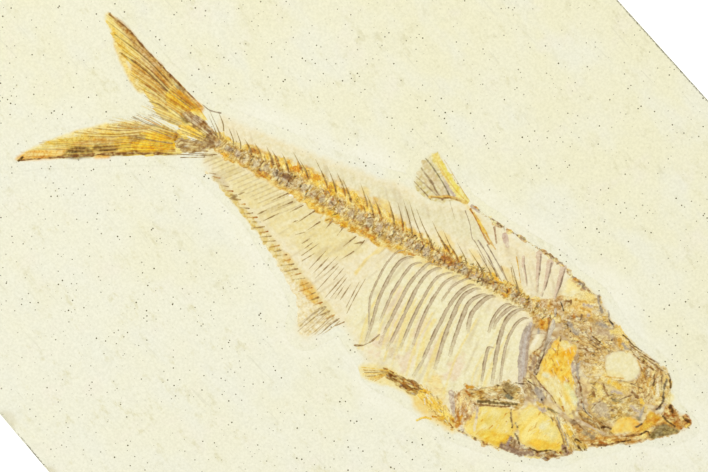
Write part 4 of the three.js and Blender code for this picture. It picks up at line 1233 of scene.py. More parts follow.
# Each is a colour, a width and the points of a line.
HEAD_MARKS = [
    ((0.79, 0.69, 0.50), 0.9, (44.4, -7), (46.9, -8.1), (50.6, -7.4)),
    ("brown", 0.25, (45.2, -7.9), (47.4, -8.5)), ("ochre", 0.25, (48, -7.8), (49.6, -7.7)),
    ("brown", 0.4, (34.4, 7.8), (35, 8.1)), ("brown", 0.35, (35.2, 8.4), (35.5, 7.9)),
    ("black", 0.2, (33.9, 7.4), (34.4, 7), (35, 6.4)),
    ("ochre", 0.5, (35.8, 8.9), (37.2, 9.3), (38.4, 9.9)), ("ochre", 0.5, (37, 8.3), (38.8, 8.4)),
    ("rust", 0.5, (36.7, 6.7), (37, 6.4)), ("umber", 0.35, (37.8, 7.3), (38, 7), (38.1, 6.5)),
    ("rust", 0.3, (40, 6.3), (40.5, 5.8)), ("mauve", 0.8, (38.8, 7.8)),
    ("mauve", 0.8, (37.4, 8.9), (38.6, 9.3)),
    ("slate", 0.5, (38.7, 11.3), (39.3, 10.4), (39.9, 9.8), (40.4, 9.3)),
    ("umber", 0.2, (38.9, 11.2), (39.7, 10)),
    ("slate", 0.3, (41.2, 10), (41.7, 9.4), (42.1, 8.8), (43.1, 8.3)),
    ("black", 0.25, (42, 8.8), (42.9, 8.5)), ("slate", 0.9, (41, 7.4), (42.2, 7.6)),
    ((0.80, 0.71, 0.57), 1.6, (41.6, 6.5), (43.4, 6.7)), ("black", 0.25, (44, 6.2)),
    ("slate", 0.9, (36.8, 4.9), (38.6, 4.4)), ("dark", 0.3, (36.5, 4.8), (37, 4.5)),
    ("dark", 0.3, (37.6, 4.1)), ("dark", 0.3, (38.1, 3.3)), ("brown", 0.3, (36.7, 2.6), (37, 2)),
    ("dark", 0.2, (41, 5.2), (42.6, 5)), ("umber", 0.2, (40.4, 4.6), (42.8, 4.4)),
    ("umber", 0.2, (41.2, 4), (43.4, 3.9)), ("brown", 0.35, (40.2, 2.5), (41.1, 2.8), (41.8, 2.7)),
    ("straw", 1.2, (43.4, 7.4), (44.4, 8)), ("yellow", 0.3, (44, 8.8), (45.2, 8.1)),
    ("ochre", 0.7, (45.1, 6.7), (46, 5.9)),
    ("dark", 0.25, (45.2, 7.8), (46.3, 7.6), (47.3, 7.2), (49, 7.1)),
    ("brown", 0.2, (47, 6.9), (50, 6.7), (52.4, 6.7)), ("slate", 0.6, (45.9, 6.5), (46.9, 6.2)),
    ("umber", 0.25, (49.5, 6.4), (52, 6.2), (53.4, 6)), ("brown", 0.2, (48.2, 6), (50.4, 5.5), (52.8, 5.5)),
    ("ochre", 0.3, (49.3, 5.4), (50.4, 4.6), (51.3, 3.7)), ("brown", 0.3, (50.3, 4.7), (50.8, 4.3)),
    ("slate", 0.35, (50.5, 2.9)), ("umber", 0.35, (53.8, 5.4), (54.2, 4.5), (54.9, 3.3)),
    ("dark", 0.35, (54.7, 6), (55.3, 5.4), (56, 4.3)),
    ((0.50, 0.44, 0.33), 0.45, (54.8, 5.2), (55, 4), (55.5, 2.8), (56, 1.8), (56.1, 0.6)),
    ("dark", 0.35, (56, 1.4), (55.8, 0.2)), ("dark", 0.35, (53.2, 4.2), (53.4, 3.2)),
    ("ochre", 0.3, (53.4, 3), (54.3, 2.1)), ("pale", 0.6, (54, 3.6), (54.9, 2.2)),
    ("ochre", 0.5, (52.4, 3.8), (52.6, 2.8)), ("ochre", 0.25, (46.1, 0.6), (47.4, 1.2), (48.8, 1.8)),
    ("umber", 0.25, (47.9, 1), (49.5, 1.6), (51, 1.8), (52.2, 1.9)),
    ("yellow", 1.3, (47.2, 0.2), (48.8, 0.4)), ("ochre", 0.4, (48, 0.9), (49.3, 0.6)),
    ("brown", 0.3, (46.2, -0.4), (47.2, -1.3), (48.2, -2)), ("straw", 1.1, (46, -1.4), (46.9, -2.1)),
    ("mauve", 0.5, (48.2, -0.9), (49.6, -0.4)), ("olive", 0.5, (49.1, -2), (50.2, -1.6)),
    ("umber", 0.25, (49.8, -1.6), (50.4, -0.8), (51.2, 0.2)), ("brown", 0.6, (51.2, 0.6), (52.2, 0.4)),
    ("yellow", 0.7, (52.9, 0.2), (53.5, 0)), ("mauve", 0.8, (51.8, -1.4), (53.6, -1.6)),
    ("slate", 0.6, (53.8, -0.6), (54.1, -2.2)), ("olive", 0.5, (53.7, -2.5), (54.4, -2.6)),
    ((0.81, 0.745, 0.62), 2.4, (47.4, -4), (48.6, -4.3)),
    ("umber", 0.2, (47.6, -2.8), (46.9, -4), (46.8, -5)), ("umber", 0.2, (50, -2.8), (49.4, -4)),
    ("brown", 0.5, (45.6, -2.4), (46.2, -3)), ("mauve", 0.9, (40.8, -0.5), (41.1, -1)),
    ("slate", 0.6, (41.4, 0.6), (41.6, -0.6), (42.4, -1.8)),
    ("brown", 0.25, (41.8, -1.6), (43, -2.4), (44.2, -3.8), (45, -5)),
    ("slate", 0.35, (45.1, -5), (45.9, -5.6), (47.4, -6.1)),
    ("black", 0.2, (45.6, -5.5), (46.6, -6), (47.4, -6.1)),
    ("umber", 0.4, (46.2, -6.9), (47.6, -6.6), (49, -6.9)),
    ("dark", 0.35, (49.6, -6.7), (50.4, -6.2), (51, -6.2)),
    ((0.84, 0.755, 0.62), 0.4, (45.6, -7.6), (48, -7.5), (50.4, -7.4)),
    ("umber", 0.8, (44.7, -8.3), (45.5, -8.3)), ((0.66, 0.58, 0.44), 1.1, (47.4, -8.9), (49.2, -8.7)),
    ("rust", 0.5, (50.4, -8.8), (51.6, -8.6)), ("brown", 0.4, (49.6, -9.8), (51.6, -8.9), (53, -7.4)),
    ("dark", 0.3, (47, -10.4), (48, -10.5)), ("dark", 0.5, (47.8, -11.2), (48.4, -11.4)),
    ("yellow", 0.8, (44.4, -9.4), (46, -10.2)), ("brown", 0.3, (55.2, -4.9), (53.8, -5.9), (53, -6.5)),
    ("dark", 0.35, (56.9, -3.9), (56.2, -3.6), (55.4, -4.8)),
    ("dark", 0.3, (54.9, -3), (54.6, -3.6), (54.3, -4)), ("straw", 0.4, (55.2, -5.2), (56.4, -4.6)),
    ("dark", 0.3, (54.6, -6.2), (53.2, -7.4)), ("dark", 0.6, (57.5, 1.7), (58.2, 1.1)),
    ("dark", 0.5, (60.2, 1.2), (61.2, 1)), ("yellow", 0.5, (61.4, 0.6), (61.3, 0.1)),
    ("dark", 0.4, (57.3, -0.3), (58.2, -0.6), (59.6, -0.7)), ("rust", 0.4, (60, -0.4), (60.7, -0.5)),
    ("mauve", 0.7, (56.5, 1.4)), ("umber", 0.2, (57.3, -2.2), (57, -3.4)),
    ((0.76, 0.71, 0.64), 0.5, (31.4, 1.4), (31.3, 0.6)), ((0.64, 0.60, 0.55), 0.5, (33, 1.8), (33.3, 1.3)),
    ("orange", 1, (33, 2.9), (33.4, 2.5)), ("rust", 0.4, (33.2, 2.7)),
    ("rust", 0.5, (33.6, 4.1), (34, 3.6)), ("ochre", 0.6, (32.5, 5.9), (32.7, 5.5)),
    ("pale", 0.8, (33.5, 0.8), (33.6, -1.2)), ("brown", 0.3, (34.6, 0.8), (34.8, -0.4), (34.3, -1.5)),
    ((0.82, 0.77, 0.68), 0.5, (34.4, 4.4), (34.9, 2.6), (35.3, 1.2)),
    ("umber", 0.2, (33.9, 3.8), (34.5, 2.2), (34.9, 0.6)),
    ("dark", 0.2, (35.7, -1), (36, -3), (36.4, -4.6)),
    ((0.72, 0.62, 0.50), 0.9, (34.6, -2.4), (35.2, -4.2)),
    ("dark", 0.2, (34.2, -7.4), (35.2, -7), (35.8, -6.6)), ("dark", 0.2, (35.3, -6.1), (36.9, -6.3)),
    ("slate", 1.2, (37.6, -6.8), (38.9, -7.4)), ("black", 0.35, (39.1, -7.7)), ("mauve", 0.7, (38.3, -8.3)),
    ("brown", 0.18, (36.6, -5.1), (38.2, -5.8), (40, -6.3), (41.3, -7)),
    ("rust", 0.4, (42.6, -7), (43.1, -7.4)), ("mauve", 0.8, (39.6, -9), (40.4, -9)),
    ("olive", 0.3, (40.6, -8.4), (42.6, -8.2)),
    ("slate", 0.3, (42.6, -8.9), (43.8, -9.9), (45.4, -11), (46.6, -12)),
    ("umber", 0.18, (42.2, -9), (43.4, -10), (45, -11.2), (46, -12.2)),
    ("umber", 0.3, (35.6, -11.4), (36.3, -12.6), (37.1, -13.6)), ("olive", 0.25, (37.3, -13), (38, -13.4)),
    ("rust", 0.3, (35.9, -13.5)), ("dark", 0.3, (37.2, -13.9)),
    ("dark", 0.3, (38.1, -14.5), (38.8, -14.9), (39.5, -15.6)),
    ("dark", 0.35, (41.3, -15.3), (42.7, -15.2), (43.5, -14.6), (44.2, -14.1), (45.2, -13.8)),
    ("mauve", 0.5, (30.8, -13.9), (31.7, -15.7)), ("skin", 0.6, (31.7, -15.8), (32.2, -17.4)),
    ("orange", 0.8, (29.3, -16.4), (29.5, -18.3)), ((0.62, 0.53, 0.47), 0.9, (30.4, -18.2)),
    ((0.62, 0.53, 0.47), 0.7, (31.5, -18.6)), ((0.66, 0.58, 0.54), 0.5, (37.8, -15.4), (38, -16.8)),
    ("umber", 0.3, (38.6, -15.4), (39.2, -16.8)),
    ((0.65, 0.55, 0.46), 1, (37.4, -17.2), (39.6, -17), (42.2, -16)),
    ("straw", 0.4, (41.4, -16.9), (43.4, -15.9)), ((0.68, 0.56, 0.46), 1, (45.9, -12.4), (46.6, -13)),
    ("dark", 0.4, (46.2, -12.6), (46.6, -13)), ((0.62, 0.52, 0.33), 1.2, (33.2, -8.6), (33.6, -9.6)),
    ((0.47, 0.45, 0.36), 0.8, (34, -9.9), (34.7, -9.9)), ("brown", 0.7, (32.6, -10.6), (33.2, -11)),
    ((0.50, 0.42, 0.24), 0.4, (30.4, -13), (31.6, -12.4), (33.6, -11.5), (36, -10.3)),
    ("brown", 0.3, (30.2, -13.6), (31.8, -12.9), (33.8, -12), (35.6, -10.9)),
    ("orange", 0.7, (27.8, -11.8), (28.6, -11.4)), ("dark", 0.3, (32.8, -9.2), (33.8, -9.6)),
    ("rust", 0.4, (28, -12.6), (28.8, -12.8)), ("rust", 0.4, (28.6, -16.2), (29.4, -17.4)),
    ("skin", 0.35, (33.4, -10.9), (35.2, -10.2), (36.2, -9.8)),
]


def mark_head(relief):
    """The colours and lines that run on from one bone of the head to the next."""
    for colour, strength, outline in HEAD_AREAS:
        wash_area(relief, outline, colour, strength, 0.4, 0.8, (0.35, 0.5, 82, 60, 1.6, 0.1))
    for colour, width, *points in HEAD_MARKS:
        mark(relief, colour, width, *points)


# ---------------------------------------------------------------- scutes

BACK_EDGE = [(14.2, 13.6), (17, 13.2), (20, 13.1), (26, 13), (31, 12.6), (34.4, 11.5), (37.7, 11)]
BELLY_EDGE = [
    (24.5, -18.1), (30, -18.6), (35.5, -18.2), (39.5, -16.9), (43.5, -15.2), (46.6, -13), (49, -11),
]
BACK_COLOURS = ["brown", "umber", "ochre", "mauve", "olive", "slate"]
BELLY_COLOURS = ["umber", "dark", "rust", "ochre", "olive"]


def draw_scutes(relief, edge, count, size, colours, seed):
    """Small keeled plates along an edge, with a crumbled line of stain under them."""
    random = np.random.default_rng(seed)
    line = smooth_line(edge)
    stroke(relief, edge, size * 1.2, 0.08, "ochre", 1.6, 1.0, 0.5)
    for k in range(count):
        x, y = point_on(line, (k + random.uniform(0.2, 0.8)) / count)
        grow = size * random.uniform(0.4, 0.9)
        dx, dy = random.normal(0, 0.15, 2)
        keel = [(x - grow, y + dy), (x + dx, y + grow * 0.4), (x + grow, y - dy)]
        colour = colours[random.integers(len(colours))]
        stroke(relief, keel, [0.12, grow * 0.7, 0.12], 0.14, colour, 1.4, 0.8, random.uniform(0.4, 1))


# ---------------------------------------------------------------- fins

# Streaks per radian close to a fin's root, and after its rays have forked
RAYS_NEAR = 11 / 0.3
RAYS_FAR = 20 / 0.3


def rayed(relief, outline, root, seed):
    """A fin's web, streaked by rays that spread from a root point. Each ray forks halfway out."""
    curve = closed(outline)
    area = window(curve, 1.2)
    x, y = GRID_X[area], GRID_Y[area]
    radius = np.hypot(x - root[0], y - root[1])
    angle = np.arctan2(y - root[1], root[0] - x)
    near = smooth_noise(angle * RAYS_NEAR, radius / 3, 1, seed)
    far = smooth_noise(angle * RAYS_FAR, radius / 3, 1, seed + 1)
    fork = ease(radius, 9, 14)
    streak = near * (1 - fork) + far * fork + 0.1 * GRAIN[area]
    depth = depth_inside(curve, x, y) + 0.5 * streak * ease(radius, 4, 8)
    top = (0.07 - 0.03 * streak) * ease(depth, -0.1, 0.3) - 0.05 * (1 - ease(depth, -0.4, 0))
    tone = deepen(STAINS.colour[area], 0.6 * (streak + 0.1)) * (1, 0.98, 0.82)
    relief.raise_to(area, np.where(depth > -0.4, top, EMPTY), tone, ease(depth, -0.3, 0.25))


def web(relief, outline, height, soft=0.5):
    """The skin between a fin's rays."""
    curve = closed(outline)
    area = window(curve, 1)
    depth = depth_inside(curve, GRID_X[area], GRID_Y[area]) + 0.6 * BUMPS[area]
    top = height * ease(depth, -0.1, soft) - 0.05 * (1 - ease(depth, -soft, 0))
    tone = deepen(STAINS.colour[area], 0.25 * GRAIN[area])
    relief.raise_to(area, np.where(depth > -soft, top, EMPTY), tone, ease(depth, -soft, soft))


def draw_tail_upper(relief):
    rayed(relief, TAIL_UPPER, (-24, 1.6), 81)
    root = [(-31.2, 5.9), (-32.6, 4.6), (-33.2, 2.6)]
    halfway = [(-45, 9.6), (-44, 5.6), (-38, 2.6)]
    rays(relief, root, halfway, 22, 0.18, ["brown", "rust", "umber", "orange"], 82, bow=-0.02)
    middle = [(-37, 7.2), (-37.4, 4.6), (-35.6, 2.2)]
    edge = [(-51.8, 11.0), (-51.0, 9.6), (-47.5, 6.8), (-42.5, 3.8), (-38.6, 1.6)]
    rays(relief, middle, edge, 38, 0.17, ["brown", "dark", "rust", "ochre", "straw"], 84, bow=-0.03)
    tips = [(-41, 2.8), (-40, 1.2), (-38, 0.4)]
    rays(relief, [(-33.4, 2.4), (-32.6, 1.4)], tips, 9, 0.18, ["ochre", "umber", "straw"], 85)
    leading = [(-33, 6.2), (-38, 7.5), (-44, 9.3), (-48, 10.6), (-51.6, 11.1)]
    stroke(relief, leading, [0.2, 0.3, 0.4, 0.3, 0.2], 0.12, "brown", 0.8)


def draw_tail_lower(relief):
    rayed(relief, TAIL_LOWER, (-24, 2.6), 83)
    root = [(-32.4, 0.2), (-32.8, -1.4), (-31.5, -2.6)]
    halfway = [(-38.6, 0.4), (-42.6, -4.4), (-43, -9.4)]
    rays(relief, root, halfway, 20, 0.18, ["brown", "rust", "umber", "orange"], 86, bow=0.02)
    middle = [(-36.6, -0.6), (-38.4, -4.2), (-37.6, -6.4)]
    edge = [(-42.4, -3.6), (-46.6, -7.6), (-50.4, -11.6), (-52.4, -14.4), (-52.4, -16.2)]
    rays(relief, middle, edge, 38, 0.17, ["brown", "dark", "rust", "ochre", "straw"], 87, bow=0.03)
    tips = [(-38.5, 0.8), (-41.4, -1.4), (-44, -4)]
    rays(relief, [(-32.6, 0.4), (-34, -0.4)], tips, 12, 0.15, ["ochre", "straw", "olive"], 88)
    leading = [(-32, -3.3), (-36, -5.5), (-42, -9.2), (-48, -13.2), (-52.4, -16.3)]
    stroke(relief, leading, [0.3, 0.4, 0.4, 0.4, 0.3], 0.12, "brown", 0.8)
    stroke(relief, [(-52.2, -15.6), (-52.5, -16.4)], 0.4, 0.14, "dark", 0.5)


# Each is a colour, a width and the points of a line.
DORSAL_BONES = [
    ((0.88, 0.82, 0.66), 1, (9.6, 13), (6.6, 14.4), (3.8, 15.8)),
    ((0.88, 0.82, 0.65), 0.9, (9.2, 12.3), (6.4, 13.2), (3.9, 13.8)),
    ((0.50, 0.44, 0.33), 0.25, (10.3, 13), (9.5, 13.6), (7.5, 14.8), (5, 16), (3.7, 16.5)),
    ((0.62, 0.52, 0.38), 0.4, (9.3, 12.2), (8, 12.7), (6.5, 13.6), (3.9, 14.8)),
    ((0.70, 0.61, 0.47), 0.3, (8.4, 12.2), (6, 12.8), (3.9, 13.2)),
    ("umber", 0.2, (7.6, 11.2), (6.5, 11.6), (3.9, 12.4)),
    ("mauve", 0.5, (10.6, 13.6), (9, 14.4), (7.5, 15.3)), ("mauve", 0.2, (12.6, 14.3), (10.8, 15.3)),
    ((0.94, 0.89, 0.56), 1.3, (12.6, 13.9), (10, 15), (7.4, 16.4), (4.9, 17.5)),
    ((0.93, 0.86, 0.40), 0.5, (11.4, 14.2), (9, 15.6), (6.2, 17.1)),
    ("ochre", 0.15, (12.8, 13.8), (9.6, 14.8), (5.6, 16.9)),
    ("ochre", 0.15, (12.9, 14.2), (9.8, 15.9), (6.4, 17.8)),
    ("ochre", 0.5, (7.4, 11.5), (8.6, 12.2), (10.4, 13.1), (13, 13.6)),
    ("brown", 0.2, (7.6, 11.6), (8.8, 12.1), (10.4, 13), (12, 13.4)),
    ("mauve", 0.7, (14, 13.6), (15.4, 13.3)),
    ("rust", 0.4, (14, 13), (15.6, 12.1), (16.6, 11.4), (18.4, 10.2), (19.4, 9.7)),
    ("ochre", 0.45, (14.8, 12.8), (17.2, 11.5), (18.8, 10.5), (20.6, 9.5)),
    ("yellow", 0.6, (16, 12.1), (17.8, 11)),
    ((0.68, 0.61, 0.53), 0.3, (17.6, 9.3), (20, 8.1), (22.5, 6.4), (24, 5.6)),
    ((0.66, 0.59, 0.50), 0.3, (19.2, 9.4), (22, 7.8), (24.5, 6.2)),
    ((0.68, 0.59, 0.49), 0.2, (13.4, 12.4), (15, 11), (16.5, 9.2), (17.4, 8.8), (20, 7.2), (21, 6.2)),
    ((0.70, 0.57, 0.44), 0.45, (18.8, 12.4), (20.3, 10.4)),
    ((0.84, 0.75, 0.67), 0.9, (20.7, 12.2), (22.1, 10.9)),
    ("ochre", 0.25, (24.2, 10.1), (25.3, 8.8), (26.8, 6.9)),
    ("taupe", 0.2, (24.3, 8.2), (25.4, 6.8), (26.2, 6.2)),
    ("taupe", 0.2, (22.8, 7.6), (24.4, 6.4), (25.4, 5.6)), ("taupe", 0.15, (10.4, 12.6), (12.6, 10.4)),
]


def draw_dorsal(relief):
    web(relief, DORSAL, 0.05)
    for colour, width, *line in DORSAL_BONES:
        stroke(relief, line, width, 0.1, colour, 0.4, 0.3, [0.95, 0.95, 0.6])


ANAL_RAYS = 34
ANAL_BASE = [
    (5.5, -12.7), (2, -12.2), (-1.5, -10.6), (-5.6, -8.9), (-11, -6.8), (-15, -5.2), (-20, -3.6),
    (-25, -2.2),
]


def draw_anal(relief):
    lobe = [
        (5.4, -12.8), (3.6, -15.6), (1.4, -18.3), (-0.8, -17.2), (-3, -14.2), (-9, -10.2), (-17, -6.4),
        (-25.4, -3.6), (-25.6, -2.4), (-16, -4.8), (-9, -7.5), (-3, -9.8), (1, -11.7),
    ]
    web(relief, lobe, 0.04, 0.8)
    random = np.random.default_rng(86)
    base = smooth_line(ANAL_BASE)
    for k in range(ANAL_RAYS):
        share = k / ANAL_RAYS
        x, y = point_on(base, share)
        length = random.uniform(1.4, 2.6) * (1 - 0.4 * share)
        turn = math.radians(200 + 35 * (1 - share) + random.normal(0, 4))
        end = (x + length * math.cos(turn), y + length * math.sin(turn))
        colour = ("brown", "umber", "rust")[k % 3]
        stroke(relief, [(x, y), end], [0.26, 0.14], 0.12, colour, 0.8, 0.4, [0.9, 0.5])
    tips = [(3.6, -16.2), (1, -18.2), (-1, -17)]
    rays(relief, [(5, -13), (1, -12.4)], tips, 12, 0.2, ["taupe", "umber"], 89)
    for line in ANAL_SUPPORTS:
        stroke(relief, line, [0.14, 0.26, 0.16], 0.1, "umber", 0.6, 0.3, [0.5, 0.9, 0.6])


ANAL_SUPPORTS = [
    [(-18.7, -2.7), (-19.3, -3.5)], [(-19.3, -3.8), (-20.3, -4.8)], [(-14.2, -3.4), (-15.1, -4.7)],
    [(-12, -2.5), (-13.8, -5.2)], [(-9, -2.3), (-9.6, -3)], [(-7, -3.3), (-8.2, -4.5)],
    [(-5.9, -3.8), (-6.6, -5.2)], [(-5.2, -4.2), (-5.9, -5.8)], [(-4.2, -3.7), (-5.7, -6.9)],
    [(-4.1, -5.6), (-5.2, -7.6)], [(-2.7, -4.3), (-3.6, -8.2)], [(-1.8, -5), (-2.7, -8.6)],
    [(-0.6, -4), (-2, -9)], [(0, -5), (-1, -8)], [(0.3, -5.5), (-0.8, -10.5)], [(1.2, -5), (0.7, -7.7)],
    [(2, -5.5), (0.9, -11)], [(2.4, -6), (1.7, -10.5)], [(2.6, -7.6), (2.4, -10.3)],
    [(3.4, -7), (3.2, -10)], [(4.4, -6), (4.6, -10.5)], [(5, -5), (5, -8), (5.2, -11.3)],
]


def draw_pelvic(relief):
    block = [
        (21.7, -15.7), (20, -15.2), (18.7, -15.9), (15.1, -15.6), (15.1, -16.9), (18.6, -17.2), (21, -17.3),
    ]
    mottle(relief, block, (0.72, 0.59, 0.36), 0.9, 0.5, 87, 5, 2.0, 0.14, 0.4, 0.7)
    crumbs(relief, block, 70, 1.0, 0.18, 0.16, ["dark", "brown", "rust", "straw", "slate"], 88, 0, 25)
    tips = [(11.2, -17.6), (12.6, -18.8), (14.4, -18.8)]
    rays(relief, [(15.6, -15.9), (15.4, -16.9)], tips, 12, 0.22, ["ochre", "yellow", "umber"], 90)


def draw_breast_fin(relief):
    block = [
        (27.4, -11.8), (29, -10.8), (31, -10), (32.6, -8), (34.4, -7.6), (36.8, -9.2), (36.4, -10.6),
        (33.4, -12.2), (30, -14), (27.8, -13.4),
    ]
    mottle(relief, block, (0.87, 0.78, 0.57), 0.8, 0.4, 89, 28, 1.8, 0.1, 0.9, 0.5)
    crumbs(relief, block, 150, 0.8, 0.13, 0.14, ["brown", "olive", "umber", "straw", "dark"], 91, 25, 40)
    below = [(26.4, -13), (30.4, -13.6), (31, -15.6), (30, -17.6), (28, -17.4), (27, -15.4)]
    mottle(relief, below, (0.88, 0.78, 0.62), 0.7, 0.4, 90, 110, 1.6, 0.1, 0.9, 0.6)
    crumbs(relief, below, 50, 0.7, 0.13, 0.14, ["brown", "mauve", "umber", "rust", "skin"], 92, 110, 40)


# ---------------------------------------------------------------- splinters

# Each is a colour, a width and the points of a line.
FLANK_MARKS = [
    ("slate", 0.55, (19.4, -12.6), (19.5, -14.4), (19.3, -16)), ("rust", 0.2, (22.2, -11.4), (22.7, -14.6)),
    ("mauve", 0.35, (24.5, -12.4), (24.9, -14.6)), ("rust", 0.25, (25, -13.8), (25.2, -15.2)),
    ("brown", 0.2, (23.4, -13.4), (23.5, -15.2)), ("umber", 0.3, (24.2, -13), (24.5, -14.4)),
    ("brown", 0.25, (20.6, -16.6), (22.4, -16)),
]


def draw_splinters(relief):
    """Small bones that lie between the named ones."""
    stroke(relief, [(26, -14), (27.5, -16), (28.3, -17.5)], [0.9, 0.9, 0.6], 0.26, "mauve", 0.4)
    stroke(relief, [(25.3, -18.7), (28, -17.8)], 0.4, 0.15, "orange", 0.5)
    stroke(relief, [(23.5, -20.5), (24.2, -19.6), (25.2, -19.2)], 0.4, 0.12, "yellow", 0.5)
    last_rib = [(11.4, -11.6), (10.8, -13.2), (10.0, -14.4), (8.8, -15.1)]
    stroke(relief, last_rib, [0.2, 0.35, 0.3], 0.15, "umber", 0.6)
    belly = [(20.6, -15.2), (24, -15.6), (28, -16.8), (28.6, -18.4), (25, -18), (21, -16.8)]
    mottle(relief, belly, (0.95, 0.84, 0.44), 0.6, 0.5, 95, -20, 2.0, 0.08, 0.8, 0.2)
    crumbs(relief, belly, 70, 0.9, 0.14, 0.14, ["rust", "orange", "brown", "yellow", "pale"], 96, -25, 30)
    for x, y in (
        (9.4, -10.8), (10.2, -11.6), (11.0, -11.0), (11.9, -12.2), (12.6, -11.4), (13.2, -12.4),
        (9.0, -12.4),
    ):
        mark(relief, "mauve", 0.3, (x, y), (x + 0.5, y - 1.6))
    for colour, width, *line in FLANK_MARKS:
        mark(relief, colour, width, *line)
    mottle(relief, [(34, -1), (35.3, -1), (35.6, -4.6), (34.4, -4.4)], "tan", 0.7, 0.5, 91)
    throat = [(38, -8.2), (44, -8.4), (49.4, -10.6), (46, -13), (44.6, -11), (40, -9.4)]
    mottle(relief, throat, (0.92, 0.84, 0.60), 0.7, 0.5, 92, -25, 2.0)
    crumbs(relief, throat, 70, 1.1, 0.13, 0.16, ["brown", "dark", "straw", "yellow", "straw"], 93, -30, 20)
    breast = [(37, -15), (41, -15.4), (45.6, -13.6), (47.8, -12), (46, -14.6), (42, -16.6), (37, -17.8)]
    mottle(relief, breast, (0.74, 0.63, 0.48), 0.8, 0.5, 93, 25, 1.6)
    crumbs(relief, breast, 90, 0.7, 0.14, 0.16, ["brown", "dark", "rust", "mauve", "slate"], 94, 20, 50)
    nape = [(30.8, 6), (34.4, 8.6), (34.6, 3), (33, 1.8), (31.6, 2.6)]
    mottle(relief, nape, (0.86, 0.76, 0.58), 0.7, 0.5, 94)
    mark_head(relief)


# ---------------------------------------------------------------- slab


def slab_corners():
    """Corners of the sawn face, from the tail end's upper corner round to the head end's."""
    slab = bpy.data.objects[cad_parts["limestone_slab"].name]
    outline = {tuple(vertex.co[:2]) for vertex in slab.data.vertices}
    points = np.array(sorted(outline)) / MM
    signs = ((-1, 1), (-1, -1), (1, -1), (1, 1))
    return [points[np.argmax(points @ np.array(sign))] for sign in signs]


SPACING = 0.7  # mm between the points of the slab's faces
ARRIS = 0.35  # mm that the worn edge has lost
ROUNDING = 0.4  # mm of height over which it curves in
FACE_DIP = 0.03  # mm that the stone's face lies below the level the bones stand on
FLAKE_DEPTH = 0.4  # mm at the middle of a flake
EDGES = (np.s_[0, :], np.s_[-1, :], np.s_[:, 0], np.s_[:, -1])  # the four edges of a grid


def make_slab():
    """The stone as three grids of points: its face, its underside and the strip of its four sides."""
    corner_a, corner_b, corner_c, corner_d = slab_corners()
    columns, rows = ((SLAB_HIGH - SLAB_LOW)[:2] / SPACING).astype(int)
    u, v = np.meshgrid(close_to_ends(columns), close_to_ends(rows))
    low = corner_b + (corner_c - corner_b) * u[..., None]
    high = corner_a + (corner_d - corner_a) * u[..., None]
    flat = low + (high - low) * v[..., None]
    centre = flat.mean((0, 1))
    top = flat.copy()
    for edge in EDGES:
        top[edge] = pull_in(flat[edge], centre, ARRIS)
    border = np.vstack([flat[0, :-1], flat[:-1, -1], flat[-1, :0:-1], flat[:0:-1, 0], flat[:1, 0]])
    face = np.dstack([top, face_height(*np.moveaxis(top, -1, 0))])
    underside = np.dstack([top, 0 * u])[:, ::-1]
    points = np.empty((0, 3))
    quads = []
    for grid in (face, underside, slab_sides(border, centre)):
        index = len(points) + np.arange(grid[..., 0].size).reshape(grid.shape[:2])
        quads.append(grid_quads(index).reshape(-1, 4))
        points = np.vstack([points, grid.reshape(-1, 3)])
    x, y = row_to_fish(points[:, 0], points[:, 1])
    colour, cover = halo(x, y)
    cover *= points[:, 2] > SLAB_TOP / 2
    # Fresh stone along the worn edge and in the flakes
    worn = np.zeros(u.shape)
    for edge in EDGES:
        worn[edge] = 0.25
    worn = np.maximum(worn.ravel(), 0.75 * edge_flakes(x, y)[: u.size])
    cover[: u.size] = np.maximum(cover[: u.size], worn)
    colour[: u.size][worn > 0] = linear((0.89, 0.87, 0.76))
    all_quads = np.vstack(quads)
    piece = make_mesh("limestone_slab_stone", points, all_quads, colour, cover, "limestone")
    # All but the face shows the saw's marks
    piece.data.materials.append(MATERIALS["sawn"])
    sawn = np.ones(len(all_quads), int)
    sawn[: len(quads[0])] = 0
    piece.data.polygons.foreach_set("material_index", sawn)
    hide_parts("limestone_slab")


def face_height(row_x, row_y):
    """Height of the slab's face, with its flakes."""
    x, y = row_to_fish(row_x, row_y)
    return SLAB_TOP + bed(x, y) - FACE_DIP - FLAKE_DEPTH * edge_flakes(x, y)


def slab_sides(border, centre):
    """Rings round the slab from its underside to its face, drawn in at both edges."""
    even = np.linspace(0.9, SLAB_TOP - 0.9, 14)
    sides = []
    for z in [0, 0.15, ROUNDING, *even, SLAB_TOP - ROUNDING, SLAB_TOP - 0.15, SLAB_TOP]:
        inset = ARRIS * max(0, 1 - min(z, SLAB_TOP - z) / ROUNDING) ** 1.6
        ring = pull_in(border, centre, inset)
        height = face_height(*ring.T) if z == SLAB_TOP else np.full(len(ring), z)
        sides.append(np.column_stack([ring, height]))
    return np.array(sides)


def close_to_ends(count):
    """Even shares from 0 to 1, with a few more close to each end, for the worn edge."""
    inner = np.linspace(0, 1, count)[1:-1]
    near = np.array([0, 0.15, 0.3, 0.6]) / count
    return np.concatenate([near, inner, 1 - near[::-1]])


# x and y in the fish's frame, and reach, of the flakes that have come off the slab's edge
EDGE_FLAKES = [(-33.4, -53.6, 2.2), (-23.2, -57.2, 1.5)]


def edge_flakes(x, y):
    """How deep the edge flakes are, from 0 to 1."""
    depth = np.zeros(np.shape(x))
    for flake_x, flake_y, reach in EDGE_FLAKES:
        depth = np.maximum(depth, ease(1 - np.hypot(x - flake_x, y - flake_y) / reach, 0, 0.5))
    return depth


def pull_in(points, centre, inset):
    """Moves points on the slab's edge towards its centre."""
    return points - (points - centre) / SLAB_HIGH[:2] * inset


